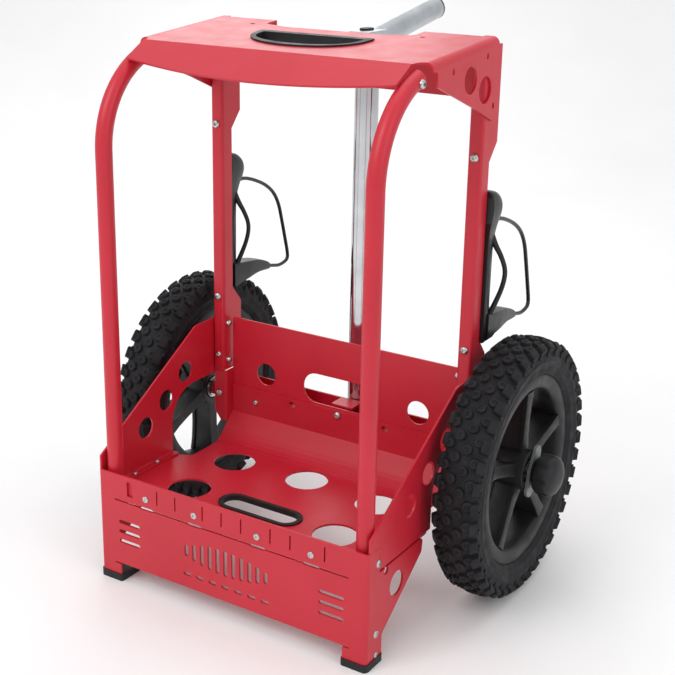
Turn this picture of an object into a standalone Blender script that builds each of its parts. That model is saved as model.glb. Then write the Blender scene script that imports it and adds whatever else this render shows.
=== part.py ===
"""Two-wheeled disc golf cart: a folded sheet frame with a seat, a cargo floor, two knobby
wheels on a fixed axle, a telescoping pull handle and two bottle cages.

Metres, +Z up, the front of the cart faces -Y. Drawing dimensions below are in millimetres, with y
counted back from the front panel's face; place() turns them into metres and moves the cart so that
its overall box is centred on the origin."""

import math

import bmesh
import bpy
from mathutils import Matrix, Vector

MM = 0.001

# Driving dimensions, millimetres.
OVERALL_DEPTH = 451.08     # front screw heads to the end of the grip
FRONT_OVERHANG = 1.5       # how far the screw heads stand in front of the panel
FRAME_HALF = 185.0         # half the width over the folded sides
SHEET = 2.5                # sheet metal thickness
GAP = 0.3                  # clearance between touching pieces

PANEL_TOP = 140.0
PANEL_LOWER_EDGE = 24.5
FOOT_TOP = 9.0
LEG_INNER = 155.0
FLANGE_DEPTH = 24.0        # how far the panel's upper side flange goes back
LEG_DEPTH = 32.0

FLOOR_TOP = 110.5
FLOOR_LIP_TOP = 137.0
RISE_START = 203.0         # where the floor starts to slope up to the back
RISE_TOP = 140.0
FLOOR_FLANGE_TOP = 177.0

BACK_FACE = 236.3          # front face of the rear plate
BACK_TOP = 268.0
BACK_HALF = 162.0

POST_FRONT = 221.4
POST_INNER = 165.0
POST_OUTER = 182.2
POST_BOTTOM = 198.0
POST_TOP = 636.0
POST_NARROW = 240.5        # rear edge of a post's flanges at mid height
POST_WIDE = 258.0          # rear edge of a post's flanges at both ends

TUBE_X = 171.0
TUBE_Y = 15.1
TUBE_RADIUS = 9.5
TUBE_BEND = 104.0
TUBE_BEND_START = 516.0
TUBE_BEND_ANGLE = math.radians(70)

SEAT_REAR_TOP = 644.0
SEAT_SLOPE = math.atan2(14.0, 157.0)
SEAT_FRONT = 82.0
SEAT_REAR = BACK_FACE + SHEET
VISOR_SLOPE = math.radians(29.5)
VISOR_HALF = 168.0

AXLE_Y = 255.6
AXLE_Z = 155.0
AXLE_RADIUS = 6.0
WHEEL_X = 225.5
TYRE_RADIUS = 155.0
TYRE_HALF_WIDTH = 27.0
RIM_RADIUS = 110.0
RIM_HALF_WIDTH = 20.0
HUB_INNER = 208.6
HUB_OUTER = 250.0

HANDLE_Y = 284.3
HANDLE_RADIUS = 14.3
GRIP_SLOPE = math.radians(10.2)
GRIP_RADIUS = 14.0
GRIP_LENGTH = 141.0
GRIP_START = 21.5          # from the handle's axis to the grip tube
HEAD_TOP = 636.0
HEAD_BOTTOM = 604.0
TUBE_MOUTH = 599.0         # upper end of the chrome tube
LOCK_Z = 214.0             # height of the lock plunger when the handle is down
BUTTON_TRAVEL = 3.0

CAGE_X = 178.0
CAGE_FRONT = 240.9

ROUND = 24                 # sides of a hole or a small turned piece


# ---------------------------------------------------------------- scene, materials, placing

def clear_scene():
    for obj in list(bpy.data.objects):
        bpy.data.objects.remove(obj)


def make_material(name, colour, roughness, metallic=0.0):
    material = bpy.data.materials.new(name)
    material.use_nodes = True
    shader = material.node_tree.nodes["Principled BSDF"]
    shader.inputs["Base Color"].default_value = (*colour, 1.0)
    shader.inputs["Roughness"].default_value = roughness
    shader.inputs["Metallic"].default_value = metallic
    material.diffuse_color = (*colour, 1.0)
    return material


def origin_y():
    """Millimetres from the world origin forward to the front panel's face."""
    return OVERALL_DEPTH / 2 - FRONT_OVERHANG


def place(obj, name, material, pivot=(0.0, 0.0, 0.0)):
    """Names a finished solid, turns it to metres and puts its origin at the pivot, in drawing units."""
    centre = Vector(pivot)
    obj.data.transform(Matrix.Scale(MM, 4) @ Matrix.Translation(-centre))
    obj.location = (centre + Vector((0.0, -origin_y(), 0.0))) * MM
    obj.name = name
    obj.data.name = name
    obj.data.materials.clear()
    obj.data.materials.append(material.copy())
    obj.data.materials[0].name = name
    obj.data.materials[0].diffuse_color = material.diffuse_color
    obj.data.shade_smooth()
    obj.data.set_sharp_from_angle(angle=math.radians(32))
    return obj


# ---------------------------------------------------------------- outlines

def circle(cx, cy, radius, sides=ROUND):
    return [
        (cx + radius * math.cos(math.tau * i / sides), cy + radius * math.sin(math.tau * i / sides))
        for i in range(sides)
    ]


def stadium(cx, cy, length, height, sides=ROUND):
    """A slot with round ends, long along the first coordinate."""
    radius = height / 2
    reach = length / 2 - radius
    half = sides // 2
    points = []
    for side, start in ((1, -math.pi / 2), (-1, math.pi / 2)):
        for i in range(half + 1):
            turn = start + math.pi * i / half
            points.append((cx + side * reach + radius * math.cos(turn), cy + radius * math.sin(turn)))
    return points


def rectangle(x0, x1, y0, y1):
    return [(x0, y0), (x1, y0), (x1, y1), (x0, y1)]


def fillet(points, radii, steps=5):
    """Rounds each corner of a closed outline by its own radius; 0 leaves it sharp."""
    rounded = []
    for i, corner in enumerate(points):
        here = Vector(corner)
        before = (Vector(points[i - 1]) - here).normalized()
        after = (Vector(points[(i + 1) % len(points)]) - here).normalized()
        if radii[i] == 0:
            rounded.append(tuple(here))
            continue
        half = before.angle(after) / 2
        centre = here + (before + after).normalized() * (radii[i] / math.sin(half))
        first = here + before * (radii[i] / math.tan(half)) - centre
        last = here + after * (radii[i] / math.tan(half)) - centre
        sweep = first.angle_signed(last)
        start = math.atan2(first.y, first.x)
        for k in range(steps + 1):
            turn = start - sweep * k / steps
            rounded.append((centre.x + radii[i] * math.cos(turn), centre.y + radii[i] * math.sin(turn)))
    return rounded


def folded(path, radii, side, thickness=SHEET, steps=5):
    """Closed section of a folded sheet.

    path is one face of the sheet; side is +1 where the metal lies left of the path and -1 where it
    lies right of it. Each radius is the outside radius of the fold at that inner path point."""
    face, back = [], []
    for i, corner in enumerate(path):
        here = Vector(corner)
        ahead = (Vector(path[i + 1]) - here).normalized() if i + 1 < len(path) else None
        behind = (here - Vector(path[i - 1])).normalized() if i > 0 else None
        if ahead is None or behind is None:
            along = ahead or behind
            across = Vector((-along.y, along.x)) * side * thickness
            face.append(tuple(here))
            back.append(tuple(here + across))
            continue
        turn = behind.angle_signed(ahead) * -1
        left = 1 if turn > 0 else -1
        outside = radii[i - 1]
        inside = outside - thickness
        path_radius, back_radius = (outside, inside) if left == side else (inside, outside)
        reach = path_radius * math.tan(abs(turn) / 2)
        start = here - behind * reach
        centre = start + Vector((-behind.y, behind.x)) * left * path_radius
        spoke = start - centre
        for k in range(steps + 1):
            direction = spoke.copy()
            direction.rotate(Matrix.Rotation(turn * k / steps, 2))
            unit = direction.normalized()
            face.append(tuple(centre + unit * path_radius))
            back.append(tuple(centre + unit * back_radius))
    return face + back[::-1]


# ---------------------------------------------------------------- solids

AXES = {"X": (1, 2, 0), "Y": (0, 2, 1), "Z": (0, 1, 2)}


def point_across(axis, pair, along):
    first, second, third = AXES[axis]
    point = [0.0, 0.0, 0.0]
    point[first], point[second], point[third] = pair[0], pair[1], along
    return point


def as_object(mesh_data, name="solid"):
    bmesh.ops.recalc_face_normals(mesh_data, faces=mesh_data.faces)
    mesh = bpy.data.meshes.new(name)
    mesh_data.to_mesh(mesh)
    mesh_data.free()
    obj = bpy.data.objects.new(name, mesh)
    bpy.context.scene.collection.objects.link(obj)
    return obj


def add_prism(mesh_data, outline, axis, low, high):
    ends = []
    for along in (low, high):
        corners = [mesh_data.verts.new(point_across(axis, pair, along)) for pair in outline]
        ends.append(corners)
        mesh_data.faces.new(corners)
    count = len(outline)
    for i in range(count):
        j = (i + 1) % count
        mesh_data.faces.new((ends[0][i], ends[0][j], ends[1][j], ends[1][i]))


def prism(outline, axis, low, high):
    mesh_data = bmesh.new()
    add_prism(mesh_data, outline, axis, low, high)
    return as_object(mesh_data)


def prisms(outlines, axis, low, high):
    """Several separate prisms in one object, for cutting many holes at once."""
    mesh_data = bmesh.new()
    for outline in outlines:
        add_prism(mesh_data, outline, axis, low, high)
    return as_object(mesh_data)


def box(x0, x1, y0, y1, z0, z1):
    return prism(rectangle(x0, x1, y0, y1), "Z", z0, z1)


def lathe(profile, axis, centre, sides=ROUND):
    """Turns a closed profile of (radius, distance along the axis) about an axis line."""
    mesh_data = bmesh.new()
    first, second, _ = AXES[axis]
    rings = []
    for radius, along in profile:
        if radius == 0:
            rings.append([mesh_data.verts.new(point_across(axis, (0.0, 0.0), along))])
            continue
        rings.append([
            mesh_data.verts.new(point_across(axis, pair, along)) for pair in circle(0, 0, radius, sides)
        ])
    for i, ring in enumerate(rings):
        following = rings[(i + 1) % len(rings)]
        for k in range(sides):
            m = (k + 1) % sides
            if len(ring) == 1 and len(following) == 1:
                break
            if len(ring) == 1:
                mesh_data.faces.new((ring[0], following[k], following[m]))
            elif len(following) == 1:
                mesh_data.faces.new((ring[k], ring[m], following[0]))
            else:
                mesh_data.faces.new((ring[k], ring[m], following[m], following[k]))
    obj = as_object(mesh_data)
    shift = Vector((0.0, 0.0, 0.0))
    shift[first], shift[second] = centre[0], centre[1]
    obj.data.transform(Matrix.Translation(shift))
    return obj


def sweep(route, radius, sides=16, bore=0.0):
    """A round bar along a route, or a tube where bore is not 0."""
    mesh_data = bmesh.new()
    points = [Vector(p) for p in route]
    side = None
    rings = []
    for i, point in enumerate(points):
        ahead = points[min(i + 1, len(points) - 1)] - points[max(i - 1, 0)]
        ahead.normalize()
        if side is None:
            side = ahead.orthogonal().normalized()
        side = (side - ahead * side.dot(ahead)).normalized()
        other = ahead.cross(side)
        ring = []
        for r in (radius, bore):
            if r == 0:
                continue
            ring.append([
                mesh_data.verts.new(point + side * (r * a) + other * (r * b))
                for a, b in circle(0, 0, 1.0, sides)
            ])
        rings.append(ring)
    for ring, following in zip(rings, rings[1:]):
        for wall, next_wall in zip(ring, following):
            for k in range(sides):
                m = (k + 1) % sides
                mesh_data.faces.new((wall[k], wall[m], next_wall[m], next_wall[k]))
    for end in (rings[0], rings[-1]):
        if bore == 0:
            mesh_data.faces.new(end[0])
            continue
        for k in range(sides):
            m = (k + 1) % sides
            mesh_data.faces.new((end[0][k], end[0][m], end[1][m], end[1][k]))
    return as_object(mesh_data)


def bake(obj):
    graph = bpy.context.evaluated_depsgraph_get()
    finished = bpy.data.meshes.new_from_object(obj.evaluated_get(graph))
    obj.modifiers.clear()
    obj.data = finished


def combine(obj, operation, tools):
    """Applies one exact Boolean for each tool and removes the tools."""
    for tool in tools:
        modifier = obj.modifiers.new(operation.lower(), "BOOLEAN")
        modifier.operation = operation
        modifier.solver = "EXACT"
        modifier.object = tool
    bake(obj)
    for tool in tools:
        bpy.data.objects.remove(tool)
    return obj


def cut(obj, *tools):
    return combine(obj, "DIFFERENCE", tools)


def join(obj, *tools):
    return combine(obj, "UNION", tools)


def keep(obj, *tools):
    return combine(obj, "INTERSECT", tools)


def turned(obj, angle, pivot):
    """Turns a solid about the X direction through the pivot, (y, z)."""
    centre = Vector((0.0, pivot[0], pivot[1]))
    turn = Matrix.Rotation(angle, 4, "X")
    obj.data.transform(Matrix.Translation(centre) @ turn @ Matrix.Translation(-centre))
    return obj


def mirrored(obj):
    """A copy of a finished solid on the other side of the cart, drawn before place()."""
    twin = obj.copy()
    twin.data = obj.data.copy()
    bpy.context.scene.collection.objects.link(twin)
    twin.data.transform(Matrix.Diagonal((-1, 1, 1, 1)))
    twin.data.flip_normals()
    return twin


def place_pair(right, name, material, pivot=(0.0, 0.0, 0.0)):
    """Places a piece drawn on the right side, and its mirror image on the left."""
    left = mirrored(right)
    place(right, name + "_right", material, pivot)
    place(left, name + "_left", material, (-pivot[0], pivot[1], pivot[2]))


# ---------------------------------------------------------------- fasteners' places

BOLT_RADIUS = 2.5
BOLT_HOLE = 2.9
PANEL_SCREWS = [(-113.8, 119.4), (-43.4, 119.4), (43.4, 119.4), (113.8, 119.4)]
POST_BOLT_X = 173.8
POST_BOLTS = [517.0, 297.0]
BACK_BOLT = (0.0, 171.0)
TUBE_BOLT = (82.0, 612.5)


def button_bolt(length, head_radius, head_height):
    """A button-head bolt along +Z, its head's seat at z = 0 and its shank going down."""
    dome = [
        (head_radius * math.cos(turn), head_height * (0.35 + 0.65 * math.sin(turn)))
        for turn in (0.0, 0.6, 1.1)
    ]
    socket = 1.7
    profile = [
        (0.0, -length), (BOLT_RADIUS, -length), (BOLT_RADIUS, 0.0), (head_radius, 0.0), *dome,
        (socket, head_height), (socket, head_height - 1.6), (0.0, head_height - 1.6),
    ]
    return lathe(profile, "Z", (0.0, 0.0), sides=10)


def aimed(obj, direction, point):
    turn = Vector((0.0, 0.0, 1.0)).rotation_difference(Vector(direction)).to_matrix().to_4x4()
    obj.data.transform(Matrix.Translation(Vector(point)) @ turn)
    return obj


# ---------------------------------------------------------------- folded sheet frame

def emblem_slots():
    """A plain fan of upright slots, tallest in the middle, over a row of short dashes."""
    slots = []
    for i in range(-5, 6):
        height = 32.0 - 0.7 * i * i
        slots.append([(y, x) for x, y in stadium(72.0, 11.0 * i, height, 5.2, 8)])
    for i in range(-3, 4):
        slots.append(stadium(18.0 * i, 42.0, 12.0, 4.4, 4))
    return slots


def make_front_panel():
    section = folded(
        [(-FRAME_HALF, 130.0), (-FRAME_HALF, 0.0), (FRAME_HALF, 0.0), (FRAME_HALF, 130.0)],
        (4.5, 4.5), side=1,
    )
    panel = prism(section, "Z", FOOT_TOP - 6.0, PANEL_TOP)
    side_view = fillet(
        [
            (-1.0, 0.0), (LEG_DEPTH, 0.0), (LEG_DEPTH, 32.0), (116.0, 93.0), (118.5, 110.3),
            (37.0, 110.3), (FLANGE_DEPTH, 110.3), (FLANGE_DEPTH, PANEL_TOP + 1), (-1.0, PANEL_TOP + 1),
        ],
        [0, 0, 6, 5, 5, 0, 0, 0, 0],
    )
    keep(panel, prism(side_view, "X", -FRAME_HALF - 1, FRAME_HALF + 1))
    brace_holes = prisms(
        [circle(37.3, 106.4, 4.7, 16), circle(61.0, 80.1, 14.6, 26)],
        "X", -FRAME_HALF - 1, FRAME_HALF + 1,
    )
    between_legs = prism(rectangle(-LEG_INNER, LEG_INNER, 0.0, PANEL_LOWER_EDGE), "Y", -1.0, 8.0)
    front_cuts = [stadium(0.0, 107.0, 323.0, 1.8, 8)]
    for sign in (-1, 1):
        for z in (79.7, 67.2, 54.6):
            front_cuts.append(stadium(sign * 140.0, z, 32.0, 4.8, 8))
        leg_slit = sorted((sign * (LEG_INNER - 1.0), sign * (LEG_INNER + 8.5)))
        front_cuts.append(rectangle(*leg_slit, PANEL_LOWER_EDGE - 2.1, PANEL_LOWER_EDGE - 0.3))
    for x in (-97.0, -70.5, -31.5, -5.0, 21.7, 61.0, 87.0, 131.0):
        front_cuts.append(rectangle(x - 0.9, x + 0.9, 116.5, 134.0))
    front_cuts.append(rectangle(-142.0, -133.3, 115.5, 134.0))
    front_cuts += [circle(x, z, BOLT_HOLE, 10) for x, z in PANEL_SCREWS]
    front_cuts += emblem_slots()
    wide_slits = prisms([rectangle(x - 9.5, x + 9.5, 105.2, 108.8) for x, _ in PANEL_SCREWS], "Y", -1.0, 8.0)
    cut(panel, brace_holes, between_legs, prisms(front_cuts, "Y", -1.0, 8.0), wide_slits)
    return panel


def make_floor_plate():
    inner_front = SHEET + GAP + SHEET
    flange_face = BACK_FACE - GAP - SHEET
    section = folded(
        [
            (inner_front, FLOOR_LIP_TOP), (inner_front, FLOOR_TOP), (RISE_START, FLOOR_TOP),
            (flange_face, RISE_TOP), (flange_face, FLOOR_FLANGE_TOP),
        ],
        (4.5, 45.0, 5.0), side=-1,
    )
    half = FRAME_HALF - SHEET - GAP
    floor = prism(section, "X", -half, half)
    holes = [circle(0.0, 165.4, 26.2), stadium(0.0, 67.5, 105.0, 33.0)]
    for sign in (-1, 1):
        holes += [circle(sign * 102.5, 158.0, 26.2), circle(sign * 102.5, 67.0, 26.2)]
    notches = [
        [(sign * x, y) for x, y in (
            (200.0, 128.0), (178.0, 132.0), (157.5, 143.0), (157.5, 190.0), (161.5, 215.0),
            (161.5, 300.0), (200.0, 300.0),
        )]
        for sign in (-1, 1)
    ]
    corners = [rectangle(sign * 176.0 - 8.0, sign * 176.0 + 8.0, -1.0, 7.5) for sign in (-1, 1)]
    cut(
        floor,
        prisms(holes, "Z", 90.0, 130.0),
        prisms(notches, "Z", 90.0, 200.0),
        prisms(corners, "Z", 90.0, 150.0),
        prisms([circle(x, z, BOLT_HOLE, 10) for x, z in PANEL_SCREWS], "Y", 0.0, 12.0),
        prisms([circle(*BACK_BOLT, BOLT_HOLE, 16), stadium(-67.5, 169.5, 9.0, 7.0, 12),
                stadium(67.5, 169.5, 9.0, 7.0, 12)], "Y", 225.0, 245.0),
    )
    return floor


def make_side_plate():
    """The right side plate: an upright sheet with a narrow foot resting on the floor's edge."""
    outer = FRAME_HALF
    foot = FLOOR_TOP + GAP
    section = folded([(173.0, foot), (outer, foot), (outer, 300.0)], (4.0,), side=1)
    plate = prism(section, "Y", 0.0, 300.0)
    side_view = fillet(
        [
            (3.0, PANEL_TOP + GAP), (FLANGE_DEPTH + GAP, PANEL_TOP + GAP), (FLANGE_DEPTH + GAP, 112.0),
            (37.5, 111.5), (37.5, 109.0), (135.0, 109.0), (135.0, 192.0), (246.0, 192.0),
            (246.0, 267.0), (185.0, 265.5), (16.6, 164.0), (3.0, 155.5),
        ],
        [0, 0, 0, 0, 0, 4, 44, 6, 6, 14, 8, 0],
    )
    keep(plate, prism(side_view, "X", 150.0, 200.0))
    holes = [circle(y, z, 13.4, 24) for y, z in ((163.3, 211.0), (124.6, 185.2), (84.6, 162.0))]
    return cut(plate, prisms(holes, "X", 150.0, 200.0))


def make_rear_plate():
    outline = fillet(
        [(-BACK_HALF, 146.0), (BACK_HALF, 146.0), (BACK_HALF, BACK_TOP), (-BACK_HALF, BACK_TOP)],
        [3, 3, 3, 3], 2,
    )
    plate = prism(outline, "Y", BACK_FACE, BACK_FACE + SHEET)
    holes = [stadium(0.0, 198.5, 106.0, 39.0), circle(*BACK_BOLT, BOLT_HOLE, 16)]
    for sign in (-1, 1):
        holes += [circle(sign * 109.8, 199.9, 14.7), stadium(sign * 67.5, 169.5, 9.0, 7.0, 12)]
    return cut(plate, prisms(holes, "Y", BACK_FACE - 5.0, BACK_FACE + 10.0))


def make_axle_channel():
    """A trough behind the rear plate that carries the axle tube, with a tab folded to the front."""
    lip = BACK_FACE + SHEET + GAP
    section = folded([(lip, 176.5), (lip, 128.0), (268.3, 128.0), (268.3, 181.0)], (4.0, 4.0), side=1)
    channel = prism(section, "X", -158.0, 158.0)
    join(channel, box(-15.0, 15.0, 243.0, 267.0, 178.5, 181.0))
    return cut(
        channel,
        prism(circle(*BACK_BOLT, BOLT_HOLE, 16), "Y", 230.0, 250.0),
        prisms([stadium(sign * 67.5, 169.5, 9.0, 7.0, 12) for sign in (-1, 1)], "Y", 230.0, 250.0),
    )


def make_post():
    """The right rear post: a channel open to the back, its flanges wider at both ends."""
    section = folded(
        [(POST_INNER, POST_WIDE), (POST_INNER, POST_FRONT), (POST_OUTER, POST_FRONT), (POST_OUTER, POST_WIDE)],
        (3.5, 3.5), side=1, steps=3,
    )
    post = prism(section, "Z", POST_BOTTOM, POST_TOP)
    waist = [
        (POST_NARROW, 306.0), (POST_WIDE + 2, 283.0), (POST_WIDE + 2, 533.0), (POST_NARROW, 510.0),
    ]
    bolts = [circle(POST_BOLT_X, z, BOLT_HOLE, 16) for z in POST_BOLTS]
    return cut(post, prism(waist, "X", 150.0, 200.0), prisms(bolts, "Y", POST_FRONT - 5, POST_FRONT + 5))


def tube_route():
    steps = 7
    route = [(TUBE_X, TUBE_Y, FLOOR_TOP + 4.0)]
    for i in range(steps + 1):
        turn = TUBE_BEND_ANGLE * i / steps
        route.append((
            TUBE_X,
            TUBE_Y + TUBE_BEND * (1 - math.cos(turn)),
            TUBE_BEND_START + TUBE_BEND * math.sin(turn),
        ))
    last = Vector(route[-1])
    ahead = Vector((0.0, math.sin(TUBE_BEND_ANGLE), math.cos(TUBE_BEND_ANGLE)))
    route.append(tuple(last + ahead * 8.0))
    return route


def make_front_tube():
    tube = sweep(tube_route(), TUBE_RADIUS, 14, TUBE_RADIUS - 1.8)
    hole = prism(circle(*TUBE_BOLT, BOLT_HOLE, 12), "X", TUBE_X, TUBE_X + 20.0)
    return cut(tube, hole)


def seat_height(y):
    """Height of the seat's top face at a distance back from the front."""
    return SEAT_REAR_TOP - (SEAT_REAR - y) * math.tan(SEAT_SLOPE)


def make_seat_plate():
    """Seat, side gussets, front visor and rear flange, all folded from one sheet."""
    outer = FRAME_HALF - 0.1
    pivot = (SEAT_REAR, SEAT_REAR_TOP)
    section = folded(
        [(-outer, 540.0), (-outer, SEAT_REAR_TOP), (outer, SEAT_REAR_TOP), (outer, 540.0)],
        (8.0, 8.0), side=-1,
    )
    seat = turned(prism(section, "Y", SEAT_FRONT, SEAT_REAR + 20.0), SEAT_SLOPE, pivot)
    front_top = seat_height(SEAT_FRONT)
    side_view = fillet(
        [
            (SEAT_FRONT, front_top - 8.0), (106.0, seat_height(106.0) - 10.0), (107.0, 606.5),
            (186.0, 577.0), (236.0, 556.0), (244.0, 559.0), (244.0, SEAT_REAR_TOP + 20.0),
            (SEAT_FRONT - 5.0, SEAT_REAR_TOP + 20.0),
        ],
        [0, 4, 4, 0, 4, 4, 0, 0],
    )
    keep(seat, prism(side_view, "X", -FRAME_HALF - 5, FRAME_HALF + 5))
    # Only the gussets reach behind the rear flange, and the front corners are open for the tubes.
    open_corner = fillet([(VISOR_HALF, 60.0), (200.0, 60.0), (200.0, 97.0), (VISOR_HALF, 97.0)], [0, 0, 0, 9])
    mirror_corner = [(-x, y) for x, y in open_corner]
    cut(
        seat,
        prism(rectangle(-VISOR_HALF, VISOR_HALF, SEAT_REAR, SEAT_REAR + 40.0), "Z", 500.0, 700.0),
        prisms([open_corner, mirror_corner], "Z", 500.0, 700.0),
    )
    # The visor folds down along the seat's front edge; its lower edge is a shallow arch.
    reach = 36.0
    arch = [
        (VISOR_HALF * k / 10, -(33.0 + 18.0 * (1 - (k / 10) ** 2))) for k in range(-10, 11)
    ]
    visor = prism([(-VISOR_HALF, 1.5), *arch, (VISOR_HALF, 1.5)], "Z", -SHEET, 0.0)
    visor.data.transform(
        Matrix.Translation((0.0, SEAT_FRONT, front_top)) @ Matrix.Rotation(VISOR_SLOPE, 4, "X")
    )
    half_flange = BACK_HALF
    flange = box(-half_flange, half_flange, BACK_FACE, BACK_FACE + SHEET, 578.0, SEAT_REAR_TOP - 1.0)
    join(seat, visor, flange)
    recess = fillet(
        [(-97.0, 260.0), (-97.0, 216.0), (-62.0, 207.0), (62.0, 207.0), (97.0, 216.0), (97.0, 260.0)],
        [0, 5, 12, 12, 5, 0], 3,
    )
    cut(
        seat,
        prism(recess, "Z", 612.0, 700.0),
        prism(seat_hole(0.0), "Z", 560.0, 700.0),
        prisms([circle(sign * 111.0, 209.5, 3.0, 12) for sign in (-1, 1)], "Z", 600.0, 700.0),
        prisms(gusset_holes(), "X", -FRAME_HALF - 5, FRAME_HALF + 5),
    )
    return seat


def seat_hole(inset):
    """The D-shaped hand hole: straight at the back and bowed at the front."""
    half = 69.0 - inset
    back = 171.0 - inset
    bow = 50.0 - 2 * inset
    steps = 20
    points = [
        (half * math.cos(math.pi * k / steps), back - 4.0 - bow * math.sin(math.pi * k / steps) ** 0.8)
        for k in range(steps + 1)
    ]
    return [(half, back), *points, (-half, back)]


def gusset_holes():
    holes = [circle(179.5, 605.5, 14.5, 24), circle(214.5, 591.5, 14.5, 24)]
    holes += [[(y, z) for z, y in stadium(z, y, 7.0, 4.0, 12)] for y, z in (
        (139.6, 618.3), (216.7, 626.5), (236.0, 572.5))]
    return holes


def make_seat_trim():
    """The hand hole's lining: a flange lying on the seat and a skirt below it, along the seat's slope."""
    lining = prism(seat_hole(-3.5), "Z", GAP, 2.0)
    join(lining, prism(seat_hole(GAP), "Z", -12.0, 1.0))
    cut(lining, prism(seat_hole(4.5), "Z", -20.0, 10.0))
    # The outline is drawn in plan, so the lining is sheared up the slope and not turned.
    shear = Matrix.Identity(4)
    shear[2][1] = math.tan(SEAT_SLOPE)
    lift = SEAT_REAR_TOP - SEAT_REAR * math.tan(SEAT_SLOPE)
    lining.data.transform(Matrix.Translation((0.0, 0.0, lift)) @ shear)
    return lining


def make_floor_trim():
    """Edge trim round the floor's slot."""
    trim = prism(stadium(0.0, 67.5, 111.0, 38.0), "Z", FLOOR_TOP - SHEET - 2.0, FLOOR_TOP + 2.0)
    cut(trim, prism(stadium(0.0, 67.5, 100.0, 28.0), "Z", 90.0, 130.0))
    groove = prism(stadium(0.0, 67.5, 120.0, 52.0), "Z", FLOOR_TOP - SHEET - GAP, FLOOR_TOP + GAP)
    cut(groove, prism(stadium(0.0, 67.5, 104.4, 32.4), "Z", 90.0, 130.0))
    return cut(trim, groove)


def make_axle_bracket():
    """The right axle bracket: a plate inside the post, bored for the axle tube, folded out in front."""
    inner, outer = BACK_HALF + GAP, POST_INNER - GAP
    section = folded([(outer - SHEET, 280.0), (outer - SHEET, POST_FRONT), (181.0, POST_FRONT)], (3.0,), side=1)
    bracket = prism(section, "Z", 120.0, POST_BOTTOM - GAP)
    side_view = fillet(
        [(215.0, 128.0), (274.0, 128.0), (274.0, 182.0), (256.0, 202.0), (215.0, 202.0)], [0, 16, 16, 5, 0], 4
    )
    front_view = fillet(
        [(inner - 5.0, 128.0), (172.0, 128.0), (181.0, 140.0), (181.0, 202.0), (inner - 5.0, 202.0)],
        [0, 4, 5, 0, 0], 3,
    )
    keep(bracket, prism(side_view, "X", 150.0, 190.0), prism(front_view, "Y", 210.0, 290.0))
    return cut(bracket, prism(circle(AXLE_Y, AXLE_Z, 9.8), "X", 150.0, 180.0))


def make_foot_cap():
    """The right foot: a rubber cap over the end of the leg."""
    outline = fillet(
        [(LEG_INNER - 2.0, -1.2), (FRAME_HALF + 1.2, -1.2), (FRAME_HALF + 1.2, 33.5), (LEG_INNER - 2.0, 33.5)],
        [3, 5, 3, 3], 3,
    )
    cap = prism(outline, "Z", 0.0, FOOT_TOP)
    pocket = folded(
        [(LEG_INNER - 0.5, -0.3), (FRAME_HALF + 0.3, -0.3), (FRAME_HALF + 0.3, LEG_DEPTH + 0.4)],
        (5.0,), side=1, thickness=SHEET + 0.6,
    )
    return cut(cap, prism(pocket, "Z", FOOT_TOP - 6.3, FOOT_TOP + 5.0))


# ---------------------------------------------------------------- axle and wheels

def ring_along_x(inner, outer, low, high, sides=ROUND):
    profile = [(inner, low), (outer, low), (outer, high), (inner, high)]
    return lathe(profile, "X", (AXLE_Y, AXLE_Z), sides)


def make_rim():
    """The right rim, a single moulding: channel, five deep spokes and the hub."""
    edge, well, floor = RIM_RADIUS, 101.0, 96.0
    low, high = WHEEL_X - RIM_HALF_WIDTH, WHEEL_X + RIM_HALF_WIDTH
    profile = [
        (floor, low + 1.0), (edge - 2.0, low), (edge, low + 1.5), (edge - 1.0, low + 3.0), (well, low + 4.0),
        (well, high - 4.0), (edge - 1.0, high - 3.0), (edge, high - 1.5), (edge - 2.0, high),
        (floor, high - 1.0),
    ]
    rim = lathe(profile, "X", (AXLE_Y, AXLE_Z), 40)
    spokes = []
    for i in range(5):
        spoke = bmesh.new()
        outline = [(-16.0, 19.0), (16.0, 19.0), (18.0, 98.0), (-18.0, 98.0)]
        add_prism(spoke, outline, "Y", -7.0, 7.0)
        arm = as_object(spoke)
        for vert in arm.data.vertices:
            if vert.co.z < 50.0:
                vert.co.y *= 1.25
        turn = Matrix.Rotation(math.tau * i / 5, 4, "X")
        arm.data.transform(Matrix.Translation((WHEEL_X, AXLE_Y, AXLE_Z)) @ turn)
        spokes.append(arm)
    hub = lathe([(0.0, HUB_INNER), (23.0, HUB_INNER), (24.0, HUB_INNER + 1.0), (24.0, HUB_OUTER - 1.0),
                 (23.0, HUB_OUTER), (0.0, HUB_OUTER)], "X", (AXLE_Y, AXLE_Z), 24)
    join(rim, *spokes)
    join(rim, hub)
    bore = make_hub_bore()
    return cut(rim, bore)


BEARING_RADIUS = 14.0
BEARING_WIDTH = 9.0


def make_hub_bore():
    """The hub's stepped bore: a seat for a bearing at each end and clearance between them."""
    seat = BEARING_RADIUS + GAP
    profile = [
        (0.0, HUB_INNER - 5.0), (seat, HUB_INNER - 5.0), (seat, HUB_INNER + BEARING_WIDTH + GAP),
        (10.0, HUB_INNER + BEARING_WIDTH + GAP), (10.0, HUB_OUTER - BEARING_WIDTH - GAP),
        (seat, HUB_OUTER - BEARING_WIDTH - GAP), (seat, HUB_OUTER + 5.0), (0.0, HUB_OUTER + 5.0),
    ]
    return lathe(profile, "X", (AXLE_Y, AXLE_Z), 24)


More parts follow.
